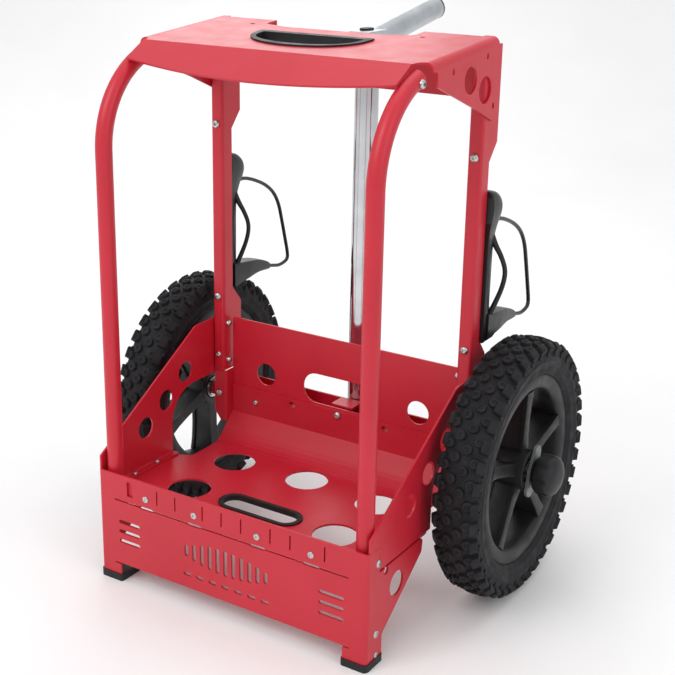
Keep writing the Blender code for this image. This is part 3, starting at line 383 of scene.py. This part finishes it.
def merge_flats(obj):
    """Joins the triangles of each flat face, so that a bevel follows only the real edges."""
    obj.modifiers.new("weld", "WELD").merge_threshold = 0.00001
    planar = obj.modifiers.new("planar", "DECIMATE")
    planar.decimate_type = "DISSOLVE"
    planar.angle_limit = math.radians(1.0)


def dress_sheet(node):
    """Powder coat with softly rounded cut edges on a folded CAD sheet."""
    sheet = dress(node, RED)
    merge_flats(sheet)
    bevelled(sheet, 0.45, 2, 40.0)


SHEETS = [
    "front_panel", "floor_plate", "rear_plate", "seat_plate", "axle_channel", "handle_upper_bracket",
    "handle_clamp",
]
for side in SIDES:
    SHEETS += [f"{kind}_{side}" for kind in ("side_plate", "rear_post", "axle_bracket")]
for sheet in SHEETS:
    dress_sheet(sheet)


# ---------------------------------------------------------------- wheels

# Millimetres, measured from the wheel's axis or from its middle plane.
TREAD_PERIODS = 40
CARCASS = 150.0
TREAD_TOP = 155.0
KNOB_COLUMNS = (-15.4, -5.4, 5.4, 15.4)
KNOB_RADIUS = 5.5
KNOB_HEIGHT = 4.3
HALF_PITCH = 12.2
LUG_WIDTH, LUG_LENGTH, LUG_HEIGHT = 8.4, 14.5, 5.6
STUD_WIDTH, STUD_LENGTH, STUD_HEIGHT = 5.4, 5.2, 1.9


def wheel_centre(side):
    low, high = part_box(f"tyre_{side}")
    return (low + high) / 2


def carcass_radius(x):
    """Radius of the crown below the tread blocks, at x from the middle plane."""
    return CARCASS - 0.15 * abs(x) ** 1.9 / 10.0


def carcass_profile():
    """Half section of the tyre below its tread blocks: (radius, distance from the middle plane)."""
    crown = [(carcass_radius(x), x) for x in (0.0, 4.0, 8.0, 12.0, 16.0, 20.0)]
    wall = [
        (142.5, 22.6), (139.5, 24.2), (135.0, 25.2), (131.0, 25.6), (130.0, 26.2), (129.0, 25.7),
        (124.0, 25.0), (120.0, 23.9), (118.6, 24.2), (117.4, 23.2), (115.0, 21.9), (113.4, 21.0),
        (112.4, 19.6), (111.8, 17.5), (104.0, 16.5),
    ]
    return crown + wall


def add_block(mesh_data, outline, height, taper, place_point, dimple=0.0):
    """A tread block: outline in (across, along) mm, its sides drawn in by the taper at the top."""
    base, top, inner = [], [], []
    for u, v in outline:
        base.append(mesh_data.verts.new(place_point(u * (1 + taper), v * (1 + taper), -1.6)))
    for u, v in outline:
        top.append(mesh_data.verts.new(place_point(u, v, height - 0.5)))
    for u, v in outline:
        inner.append(mesh_data.verts.new(place_point(u * 0.88, v * 0.88, height)))
    count = len(outline)
    for low, high in ((base, top), (top, inner)):
        for k in range(count):
            m = (k + 1) % count
            mesh_data.faces.new((low[k], low[m], high[m], high[k]))
    if dimple:
        rim, pit = [], []
        for u, v in outline:
            rim.append(mesh_data.verts.new(place_point(u * 0.5, v * 0.5, height)))
        for u, v in outline:
            pit.append(mesh_data.verts.new(place_point(u * 0.36, v * 0.36, height - dimple)))
        for low, high in ((inner, rim), (rim, pit)):
            for k in range(count):
                m = (k + 1) % count
                mesh_data.faces.new((low[k], low[m], high[m], high[k]))
        mesh_data.faces.new(pit)
    else:
        mesh_data.faces.new(inner)


def round_outline(radius, sides):
    return [(point.x, point.y) for point in circle_points(radius, sides)]


def lug_outline(width, length, chamfer):
    return [
        (-width / 2, -length / 2 + chamfer), (-width / 2 + chamfer, -length / 2), (width / 2, -length / 2),
        (width / 2, length / 2), (-width / 2 + chamfer, length / 2), (-width / 2, length / 2 - chamfer),
    ]


def make_tyre(side):
    centre, sign = wheel_centre(side), SIGN[side]
    mesh_data = bmesh.new()
    half = carcass_profile()
    to_world = along_x(*centre, sign) @ Matrix.Scale(MM, 4)
    # From one bead over the crown to the other; the last points close it between the beads.
    add_lathe(mesh_data, half[::-1] + [(r, -x) for r, x in half[1:]], 160, to_world)

    def surface(theta, x, lift, lean):
        """A point above the carcass; lean tips the lift direction from radial towards the side."""
        radius = carcass_radius(x) + lift * math.cos(lean)
        across = x + lift * math.sin(lean)
        return to_world @ Vector((radius * math.cos(theta), radius * math.sin(theta), across))

    for period in range(TREAD_PERIODS):
        base = math.tau * period / TREAD_PERIODS
        # Four round knobs, every other one half a pitch on.
        for k, x in enumerate(KNOB_COLUMNS):
            theta = base + (HALF_PITCH * (k % 2) + 1.5 * k - 6.0) / TREAD_TOP
            lean = math.radians(1.5) * x

            def place_knob(u, v, h, theta=theta, x=x, lean=lean):
                return surface(theta + v / TREAD_TOP, x + u, h, lean)

            add_block(mesh_data, round_outline(KNOB_RADIUS, 14), KNOB_HEIGHT, 0.1, place_knob, 1.1)
        # A shoulder lug on each side, and a small stud below it on the sidewall.
        for shoulder in (-1.0, 1.0):
            theta = base + (12.0 * shoulder + 2.0) / TREAD_TOP
            lean = math.radians(34.0) * shoulder

            def place_lug(u, v, h, theta=theta, lean=lean, shoulder=shoulder):
                drop = (abs(u * shoulder + 3.6)) * 0.36
                across = shoulder * 21.2 + u * 0.86
                radius = 145.4 - drop - 0.5 * (u * shoulder) + h * math.cos(lean)
                point = Vector((
                    radius * math.cos(theta + v / TREAD_TOP), radius * math.sin(theta + v / TREAD_TOP),
                    across + h * math.sin(lean),
                ))
                return to_world @ point

            add_block(mesh_data, lug_outline(LUG_WIDTH, LUG_LENGTH, 1.6), LUG_HEIGHT, 0.1, place_lug)

            def place_stud(u, v, h, theta=theta, shoulder=shoulder):
                radius = 137.5 + u
                angle = theta + 8.0 / TREAD_TOP + v / TREAD_TOP
                across = shoulder * (24.6 + h)
                return to_world @ Vector((radius * math.cos(angle), radius * math.sin(angle), across))

            add_block(mesh_data, lug_outline(STUD_WIDTH, STUD_LENGTH, 0.9), STUD_HEIGHT, 0.08, place_stud)
    tyre = new_object(f"knobby_tyre_{side}", mesh_data, TYRE, 38.0)
    return settle(tyre, f"wheel_{side}", f"tyre_{side}")


def make_rim(side):
    """Rim ring with its flanges, five deep I-section spokes and the long hub."""
    centre, sign = wheel_centre(side), SIGN[side]
    to_world = along_x(*centre, sign) @ Matrix.Scale(MM, 4)
    mesh_data = bmesh.new()
    outside = [
        (96.0, -19.0), (98.0, -20.0), (110.0, -20.4), (112.0, -19.6), (112.2, -18.2), (110.8, -17.0),
        (104.0, -15.5), (101.0, -12.0), (101.0, 12.0), (104.0, 15.5), (110.8, 17.0), (112.2, 18.2),
        (112.0, 19.6), (110.0, 20.6), (104.0, 20.2), (99.0, 19.0), (96.6, 17.0), (95.2, 13.0),
        (94.6, 3.0), (95.0, -14.0),
    ]
    add_lathe(mesh_data, outside, 128, to_world)
    hub_low, hub_high = -16.5, 24.2
    hub = rounded_profile(
        [(15.2, hub_low), (24.0, hub_low), (25.2, 0.0), (24.0, hub_high), (19.0, hub_high),
         (18.0, hub_high - 4.0), (15.2, hub_high - 4.0)],
        1.6, 3,
    )
    add_lathe(mesh_data, hub, 64, to_world)
    for i in range(5):
        add_spoke(mesh_data, to_world @ spoke_turn(i))
    rim = new_object(f"spoked_rim_{side}", mesh_data, NYLON, 35.0)
    return settle(rim, f"wheel_{side}", f"wheel_rim_{side}")


def spoke_turn(i):
    """Turns spoke i outwards; the first points up on the right wheel and down on the left."""
    return Matrix.Rotation(math.pi + math.tau * i / 5, 4, "Z")


def add_spoke(mesh_data, to_world):
    """A deep I-section spoke: two face flanges joined by a recessed web."""
    # Distance from the axle, half width and half depth.
    stations = (
        (22.0, 8.6, 16.0), (40.0, 7.2, 15.5), (60.0, 6.6, 16.0), (80.0, 6.8, 17.0), (96.0, 8.6, 18.0),
    )
    lip, recess = 4.0, 2.6
    rings = []
    for reach, half_width, half_depth in stations:
        section = [
            (-half_width, -half_depth), (half_width, -half_depth), (half_width, -half_depth + lip),
            (half_width - recess, -half_depth + lip + 1.2), (half_width - recess, half_depth - lip - 1.2),
            (half_width, half_depth - lip), (half_width, half_depth), (half_width - 1.8, half_depth + 0.8),
            (-half_width + 1.8, half_depth + 0.8), (-half_width, half_depth),
            (-half_width, half_depth - lip),
            (-half_width + recess, half_depth - lip - 1.2), (-half_width + recess, -half_depth + lip + 1.2),
            (-half_width, -half_depth + lip),
        ]
        rings.append([to_world @ Vector((reach, w, d)) for w, d in section])
    add_loft(mesh_data, rings)


def make_knob(side):
    """Domed hand knob with finger flutes round its skirt."""
    low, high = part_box(f"wheel_knob_{side}")
    sign = SIGN[side]
    start = low.x if sign > 0 else high.x
    centre = wheel_centre(side)
    to_world = along_x(start, centre.y, centre.z, sign) @ Matrix.Scale(MM, 4)
    mesh_data = bmesh.new()
    profile = [
        (0.0, 0.0), (13.0, 0.0), (15.0, 1.0), (17.0, 3.0), (21.5, 5.2), (23.4, 7.0), (24.0, 9.0),
        (24.2, 14.0), (24.2, 19.5), (23.8, 22.0), (22.4, 25.0), (19.6, 27.8), (15.6, 30.0), (10.6, 31.6),
        (5.2, 32.5), (0.0, 32.8),
    ]
    flute_count, flute_depth, skirt_start, skirt_end = 8, 0.085, 5.0, 20.0

    def fluting(angle, along):
        """Full depth along the skirt, fading out up the dome."""
        fade = max(0.0, 1.0 - max(0.0, along - skirt_end) / 5.0) if along > skirt_start else 0.0
        return 1.0 - flute_depth * max(0.0, math.cos(flute_count * angle)) ** 2.0 * fade

    add_lathe(mesh_data, profile, 96, to_world, fluting)
    knob = new_object(f"hand_knob_{side}", mesh_data, NYLON, 45.0)
    return settle(knob, f"knob_{side}", f"wheel_knob_{side}")


def make_lock_plate(side):
    """Grey plate with two round ears showing past the knob."""
    low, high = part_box(f"hub_plate_{side}")
    centre, sign = wheel_centre(side), SIGN[side]
    start = low.x if sign > 0 else high.x
    mesh_data = bmesh.new()
    reach = Vector((0.0, 8.0, 20.0))
    ear, waist, steps = 9.2, 13.0, 14
    angle = math.atan2(reach.z, reach.y)
    outline = []
    for end in (0, 1):
        direction = angle + math.pi * end
        cy, cz = reach.length * math.cos(direction), reach.length * math.sin(direction)
        for k in range(steps + 1):
            t = direction - math.radians(100) + math.radians(200) * k / steps
            outline.append((cy + ear * math.cos(t), cz + ear * math.sin(t)))
        side_direction = direction + math.pi / 2
        outline.append((waist * math.cos(side_direction), waist * math.sin(side_direction)))
    thickness = 4.0 * sign
    add_loft(mesh_data, [
        [(x, centre.y + y * MM, centre.z + z * MM) for y, z in outline]
        for x in (start, start + thickness * MM)
    ])
    plate = new_object(f"lock_plate_{side}", mesh_data, GREY, 35.0)
    bevelled(plate, 0.8, 3)
    return settle(plate, f"knob_{side}", f"hub_plate_{side}")


for side in SIDES:
    make_tyre(side)
    make_rim(side)
    make_knob(side)
    make_lock_plate(side)
    dress(f"bearing_inner_{side}", STEEL)
    dress(f"bearing_outer_{side}", STEEL)


# ---------------------------------------------------------------- tubes and handle

def make_front_tube(side):
    """The bent front tube: straight up, round the bend and a short straight end under the seat."""
    low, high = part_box(f"front_tube_{side}")
    x = (low.x + high.x) / 2
    # The CAD tube has flat facets, so its box is a little narrower than the round tube.
    radius = (high.x - low.x) / 2 * 1.012
    y = low.y + radius
    bend, start, angle, end = 0.104, 0.516, math.radians(70), 0.008
    route = [Vector((x, y, low.z)), Vector((x, y, 0.3))]
    steps = 28
    for i in range(steps + 1):
        t = angle * i / steps
        route.append(Vector((x, y + bend * (1 - math.cos(t)), start + bend * math.sin(t))))
    route.append(route[-1] + Vector((0.0, math.sin(angle), math.cos(angle))) * end)
    mesh_data = bmesh.new()
    add_tube(mesh_data, route, radius, 48)
    tube = new_object(f"bent_tube_{side}", mesh_data, RED, 50.0)
    bevelled(tube, 0.8, 2, 60.0)
    return settle(tube, "frame", f"front_tube_{side}")


def make_round_part(name, node, body, profile, material):
    """A turned piece on the handle's upright axis; heights are above the node's lowest point."""
    low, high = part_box(node)
    centre = (low + high) / 2
    mesh_data = bmesh.new()
    to_world = Matrix.Translation((centre.x, centre.y, low.z)) @ Matrix.Scale(MM, 4)
    add_lathe(mesh_data, profile, 64, to_world)
    part = new_object(name, mesh_data, material, 40.0)
    return settle(part, body, node)


def make_handle():
    low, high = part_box("handle_outer_tube")
    height = (high.z - low.z) / MM
    radius = (high.x - low.x) / 2 / MM
    make_round_part(
        "chrome_tube", "handle_outer_tube", "frame",
        [(radius - 2, 0.6), (radius - 1.4, 0.0), (radius - 0.6, 0.0), (radius, 0.6), (radius, height - 0.6),
         (radius - 0.6, height), (radius - 1.4, height), (radius - 2, height - 0.6)],
        CHROME,
    )
    low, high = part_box("handle_inner_tube")
    height = (high.z - low.z) / MM
    radius = (high.x - low.x) / 2 / MM
    make_round_part(
        "inner_tube", "handle_inner_tube", "handle",
        [(radius - 1.6, 0.3), (radius - 0.4, 0.0), (radius, 0.4), (radius, height), (radius - 1.6, height)],
        ALUMINIUM,
    )
    low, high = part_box("handle_collar")
    height = (high.z - low.z) / MM
    radius = (high.x - low.x) / 2 / MM
    make_round_part(
        "guide_collar", "handle_collar", "frame",
        [(radius - 3.3, 0.0), (radius - 3.0, 0.0), (radius - 2.9, height - 4.4),
         (radius - 0.3, height - 4.3), (radius, height - 4.0), (radius, height - 0.5),
         (radius - 0.5, height), (radius - 3.3, height)],
        NYLON,
    )


def make_grip():
    """Brushed grip tube with its black end cap."""
    low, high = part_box("handle_grip")
    slope = math.radians(10.2)
    radius = 14.0
    length = ((high.y - low.y) / MM - 2 * radius * math.sin(slope)) / math.cos(slope)
    start = Vector((0.0, low.y + radius * math.sin(slope) * MM, low.z + radius * math.cos(slope) * MM))
    axis = Matrix.Rotation(slope - math.radians(90), 4, "X")
    to_world = Matrix.Translation(start) @ axis @ Matrix.Scale(MM, 4)
    mesh_data = bmesh.new()
    add_lathe(
        mesh_data,
        [(radius - 2, 0.0), (radius, 0.0), (radius, length - 0.5), (radius - 0.5, length),
         (radius - 2, length)],
        72, to_world,
    )
    grip = new_object("grip_tube", mesh_data, ALUMINIUM, 40.0)
    settle(grip, "handle", "handle_grip")
    mesh_data = bmesh.new()
    add_lathe(
        mesh_data,
        [(0.0, length - 4), (11.7, length - 4), (11.7, length + 0.3), (radius + 0.2, length + 0.3),
         (radius + 0.3, length + 1.6), (radius - 0.6, length + 2.6), (11.0, length + 3.0),
         (10.0, length + 2.4), (6.0, length + 2.2), (0.0, length + 2.2)],
        72, to_world,
    )
    cap = new_object("grip_cap", mesh_data, TRIM, 40.0)
    settle(cap, "handle", "grip_end_cap")


def make_head():
    """Cast elbow with softly rounded edges."""
    head = dress("handle_head", ALUMINIUM)
    merge_flats(head)
    bevelled(head, 0.8, 3, 40.0)


for side in SIDES:
    make_front_tube(side)
make_handle()
make_grip()
make_head()
dress("handle_button", NYLON)
dress("release_rod", STEEL)
dress("lock_plunger", STEEL)
dress("axle_tube", RED)
dress("axle_rod", STEEL)


# ---------------------------------------------------------------- bottle cages

def cage_point(side):
    """Maps (distance outwards from the cage's middle, back from the post, up) in mm to the world."""
    low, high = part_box(f"bottle_cage_{side}")
    middle, front = (low.x + high.x) / 2, low.y

    def to_world(out, back, up):
        return Vector((middle + SIGN[side] * out * MM, front + back * MM, up * MM))

    return to_world


def make_cage(side):
    """Moulded cage: a spine with a rounded head, two bowed arms and the foot that holds the wire."""
    place_point = cage_point(side)
    mesh_data = bmesh.new()
    # Height, half width and depth of the spine and its head.
    stations = smooth_route([
        (302.0, 8.0, 15.0), (318.0, 8.6, 17.5), (345.0, 8.6, 19.0), (400.0, 8.6, 19.5), (420.0, 8.8, 21.0),
        (434.0, 9.8, 26.0), (444.0, 11.4, 31.5), (454.0, 12.8, 34.5), (463.0, 13.0, 32.0),
        (470.0, 11.8, 26.0), (475.0, 9.4, 18.0), (477.6, 6.0, 8.0),
    ], 3)
    steps = 18
    rings = []
    for up, half, depth in stations:
        ring = [place_point(half * 0.96, 0.2, up)]
        for k in range(steps + 1):
            t = math.radians(90) - math.pi * k / steps
            out = half * math.copysign(abs(math.sin(t)) ** 0.62, math.sin(t))
            ring.append(place_point(out, max(0.6, depth * abs(math.cos(t)) ** 0.62), up))
        ring.append(place_point(-half * 0.96, 0.2, up))
        rings.append(ring)
    add_loft(mesh_data, rings)
    for hand in (-1.0, 1.0):
        arm = smooth_route([
            place_point(hand * out, back, up) for out, back, up in (
                (3.0, 14.0, 430.0), (9.0, 18.0, 414.0), (14.5, 21.5, 402.0), (18.5, 25.0, 388.0),
                (19.0, 25.5, 376.0), (16.5, 24.0, 362.0), (12.0, 21.0, 347.0), (7.0, 17.0, 332.0),
                (4.0, 13.0, 322.0),
            )
        ], 6)
        count = len(arm) - 1

        def flat(i, count=count):
            end = abs(2.0 * i / count - 1.0) ** 3
            return 1.0 + 0.7 * end, 1.25 + 0.7 * end

        add_tube(mesh_data, arm, 2.3 * MM, 14, squeeze=flat)
    # The foot: distance back from the post, half width, height of its top.
    foot = smooth_route([
        (8.0, 11.0, 335.0), (20.0, 11.0, 333.5), (40.0, 10.8, 331.0), (60.0, 9.2, 328.0),
        (76.0, 7.6, 323.5), (88.0, 6.6, 318.6), (93.5, 6.0, 315.6),
    ], 3)
    corner = 2.2
    rings = []
    for back, half, top in foot:
        # The underside steps up behind the spine and then falls a little towards the end.
        under = 303.0
        if back >= 24.0:
            under = 305.0 + min(1.0, (back - 22.0) / 36.0) * 4.0 - max(0.0, back - 70.0) * 0.1
        outline = (
            (half, under + corner), (half, top - corner), (half - corner * 0.3, top - corner * 0.3),
            (half - corner, top), (-half + corner, top), (-half + corner * 0.3, top - corner * 0.3),
            (-half, top - corner), (-half, under + corner), (-half + corner, under), (half - corner, under),
        )
        rings.append([place_point(out, back, up) for out, up in outline])
    add_loft(mesh_data, rings)
    cage = new_object(f"moulded_cage_{side}", mesh_data, CAGE, 42.0)
    settle(cage, "frame", f"bottle_cage_{side}")
    mesh_data = bmesh.new()
    wire = [
        place_point(0.0, back, up) for back, up in (
            (22.0, 436.5), (40.0, 438.6), (63.0, 432.8), (89.0, 421.6), (108.0, 407.8), (120.5, 389.8),
            (129.0, 365.0), (136.5, 340.0), (142.5, 318.5), (142.0, 309.5), (134.0, 305.8), (121.0, 304.8),
            (105.0, 308.0), (88.0, 312.0),
        )
    ]
    add_tube(mesh_data, smooth_route(wire, 8), 2.4 * MM, 16)
    rod = new_object(f"cage_wire_{side}", mesh_data, WIRE, 50.0)
    settle(rod, "frame", f"cage_rod_{side}")


# ---------------------------------------------------------------- fasteners

def hexagon_points(radius, sides, along):
    """Points round a hexagon about local Z, with its corners at the radius."""
    points = []
    for k in range(sides):
        theta = math.tau * k / sides
        from_flat = theta % math.radians(60) - math.radians(30)
        reach = radius * math.cos(math.radians(30)) / math.cos(from_flat)
        points.append(Vector((reach * math.cos(theta), reach * math.sin(theta), along)))
    return points


def add_button_bolt(mesh_data, to_world, radius, height, socket):
    """Button head with a hexagon socket; local Z points out of the surface."""
    sides, edge, dome_end = 24, 0.25, 1.2
    layers = [
        circle_points(radius * 0.9, sides, -0.2), circle_points(radius, sides),
        circle_points(radius, sides, height * edge),
    ]
    for turn in (0.25, 0.5, 0.75, 1.0, dome_end):
        rise = edge + (1 - edge) * math.sin(turn) / math.sin(dome_end)
        layers.append(circle_points(radius * math.cos(turn) ** 0.75, sides, height * rise))
    layers.append(hexagon_points(socket, sides, height))
    layers.append(hexagon_points(socket * 0.96, sides, height * 0.35))
    add_loft(mesh_data, [[to_world @ point for point in layer] for layer in layers])


def make_bolt(name, point, direction, radius=4.8, height=3.2, socket=2.2, nodes=()):
    """A bolt head whose underside is centred on the point; sizes in millimetres."""
    mesh_data = bmesh.new()
    turn = Vector((0, 0, 1)).rotation_difference(Vector(direction)).to_matrix().to_4x4()
    to_world = Matrix.Translation(Vector(point)) @ turn @ Matrix.Scale(MM, 4)
    add_button_bolt(mesh_data, to_world, radius, height, socket)
    bolt = new_object(name, mesh_data, STEEL, 30.0)
    return settle(bolt, "frame", *nodes)


def make_front_bolt(name, node, radius=4.8, height=3.2, socket=2.2):
    """The head of a CAD bolt that is driven in from the front."""
    low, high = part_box(node)
    centre = (low + high) / 2
    under_head = (centre.x, low.y + height * MM, centre.z)
    return make_bolt(name, under_head, (0, -1, 0), radius, height, socket, (node,))


def make_tube_bolt(side):
    """The bolt through the top of the bent tube, its head on the outer side."""
    low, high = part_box(f"tube_bolt_{side}")
    centre, sign, height = (low + high) / 2, SIGN[side], 3.0
    seat = (high.x if sign > 0 else low.x) - sign * height * MM
    make_bolt(
        f"tube_bolt_head_{side}", (seat, centre.y, centre.z), (sign, 0, 0), height=height,
        nodes=(f"tube_bolt_{side}",),
    )


def make_small_bolts(side):
    """Bolts and screws that have no CAD node of their own: they ride on the frame."""
    sign = SIGN[side]
    post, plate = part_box(f"rear_post_{side}"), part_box(f"side_plate_{side}")
    panel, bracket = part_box("front_panel"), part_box(f"axle_bracket_{side}")
    rear_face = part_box("rear_plate_bolt")[0].y + 3.2 * MM
    inside, outside = (post[0].x, plate[1].x) if sign > 0 else (post[1].x, plate[0].x)
    foot_top = panel[1].z - 26.7 * MM
    front, up, inwards, outwards = (0, -1, 0), (0, 0, 1), (-sign, 0, 0), (sign, 0, 0)
    # Name, position, direction, radius, height, socket.
    bolts = (
        ("post_foot", (174.0 * MM * sign, post[0].y, 0.219), front, 4.0, 2.6, 1.9),
        ("post_side_1", (inside, post[0].y + 0.008, 0.261), inwards, 4.0, 5.0, 1.9),
        ("post_side_2", (inside, post[0].y + 0.008, 0.2116), inwards, 4.0, 5.0, 1.9),
        ("bracket", (173.0 * MM * sign, bracket[0].y, 0.166), front, 4.0, 2.6, 1.9),
        ("plate_low", (124.0 * MM * sign, rear_face, 0.159), front, 3.6, 2.4, 1.7),
        ("foot_1", (178.0 * MM * sign, plate[0].y + 0.053, foot_top), up, 3.4, 2.2, 1.6),
        ("foot_2", (178.0 * MM * sign, plate[0].y + 0.095, foot_top), up, 3.4, 2.2, 1.6),
        ("leg_top", (outside, panel[0].y + 0.0204, 0.1223), outwards, 4.6, 1.4, 2.0),
        ("leg_low", (outside, panel[0].y + 0.0191, 0.0385), outwards, 4.6, 1.4, 2.0),
        ("leg_foot", (outside, panel[0].y + 0.0199, 0.0125), outwards, 3.4, 1.2, 1.5),
    )
    for name, position, direction, radius, height, socket in bolts:
        make_bolt(f"bolt_{name}_{side}", position, direction, radius, height, socket)


def dress_fasteners():
    for i in (1, 2, 3, 4):
        make_front_bolt(f"panel_screw_head_{i}", f"panel_screw_{i}", 4.0, 1.2, 1.7)
    for side in SIDES:
        for i in (1, 2):
            make_front_bolt(f"post_bolt_head_{i}_{side}", f"post_bolt_{i}_{side}")
        make_tube_bolt(side)
    make_front_bolt("rear_plate_bolt_head", "rear_plate_bolt")
    for side in SIDES:
        make_small_bolts(side)


for side in SIDES:
    make_cage(side)
    dress(f"hub_washer_{side}", CHROME)
    foot = dress(f"foot_cap_{side}", TRIM)
    foot.modifiers.new("weld", "WELD").merge_threshold = 0.00001
    bevelled(foot, 1.0, 3, 30.0)
dress_fasteners()
dress("seat_hole_trim", TRIM)
dress("floor_slot_trim", TRIM)


# ---------------------------------------------------------------- floor, light and camera

def make_stage():
    mesh_data = bmesh.new()
    reach, back = 6.0, 3.2
    profile = [(-reach, 0.0), (back - 1.2, 0.0)]
    steps = 12
    for k in range(1, steps + 1):
        t = math.radians(90) * k / steps
        profile.append((back - 1.2 + 1.2 * math.sin(t), 1.2 * (1 - math.cos(t))))
    profile.append((back, 5.0))
    turn = Matrix.Rotation(math.radians(33.0), 4, "Z")
    rows = []
    for y, z in profile:
        rows.append([mesh_data.verts.new(turn @ Vector((x, y, z))) for x in (-8.0, 8.0)])
    for near, far in zip(rows, rows[1:]):
        mesh_data.faces.new((near[0], near[1], far[1], far[0]))
    floor = new_object("floor", mesh_data, floor_material(), 60.0)


def add_area_light(name, position, target, size, power, colour=(1.0, 1.0, 1.0)):
    light = bpy.data.lights.new(name, "AREA")
    light.shape = "RECTANGLE"
    light.size, light.size_y = size
    light.energy = power
    light.color = colour
    obj = bpy.data.objects.new(name, light)
    bpy.context.scene.collection.objects.link(obj)
    obj.location = position
    aim = Vector(target) - Vector(position)
    obj.rotation_euler = aim.to_track_quat("-Z", "Y").to_euler()


def make_lights():
    world = bpy.data.worlds.new("studio")
    world.use_nodes = True
    background = world.node_tree.nodes["Background"]
    background.inputs["Color"].default_value = (1.0, 1.0, 1.0, 1.0)
    background.inputs["Strength"].default_value = 0.74
    bpy.context.scene.world = world
    add_area_light("key", (-0.6, -2.2, 2.4), (0, 0, 0.35), (1.6, 1.6), 29.0)
    add_area_light("side", (2.4, -0.6, 1.5), (0, 0, 0.3), (1.2, 1.8), 8.0)
    add_area_light("top", (0.0, 0.6, 2.8), (0, 0, 0.0), (2.2, 2.2), 15.0)
    add_area_light("rim", (-1.6, 2.0, 1.6), (0, 0, 0.4), (1.2, 1.4), 8.0)
    bpy.context.scene.view_settings.view_transform = "Standard"


CAMERA_AZIMUTH = 33.136
CAMERA_ELEVATION = 18.470
CAMERA_ROLL = 0.696
CAMERA_POSITION = (0.76624, -1.23929, 0.78971)
CAMERA_LENS = 68.24
CAMERA_SHIFT = (0.0473, -0.0319)


def make_camera():
    azimuth, elevation, roll = (math.radians(a) for a in (CAMERA_AZIMUTH, CAMERA_ELEVATION, CAMERA_ROLL))
    ahead = Vector((
        -math.sin(azimuth) * math.cos(elevation), math.cos(azimuth) * math.cos(elevation),
        -math.sin(elevation),
    ))
    level = Vector((math.cos(azimuth), math.sin(azimuth), 0.0))
    right = level * math.cos(roll) + level.cross(ahead) * math.sin(roll)
    up = right.cross(ahead)
    data = bpy.data.cameras.new("camera")
    data.sensor_width = 36.0
    data.lens = CAMERA_LENS
    data.shift_x, data.shift_y = CAMERA_SHIFT
    camera = bpy.data.objects.new("camera", data)
    bpy.context.scene.collection.objects.link(camera)
    matrix = Matrix((right, up, -ahead)).transposed().to_4x4()
    matrix.translation = Vector(CAMERA_POSITION)
    camera.matrix_world = matrix
    bpy.context.scene.camera = camera


make_stage()
make_lights()
make_camera()
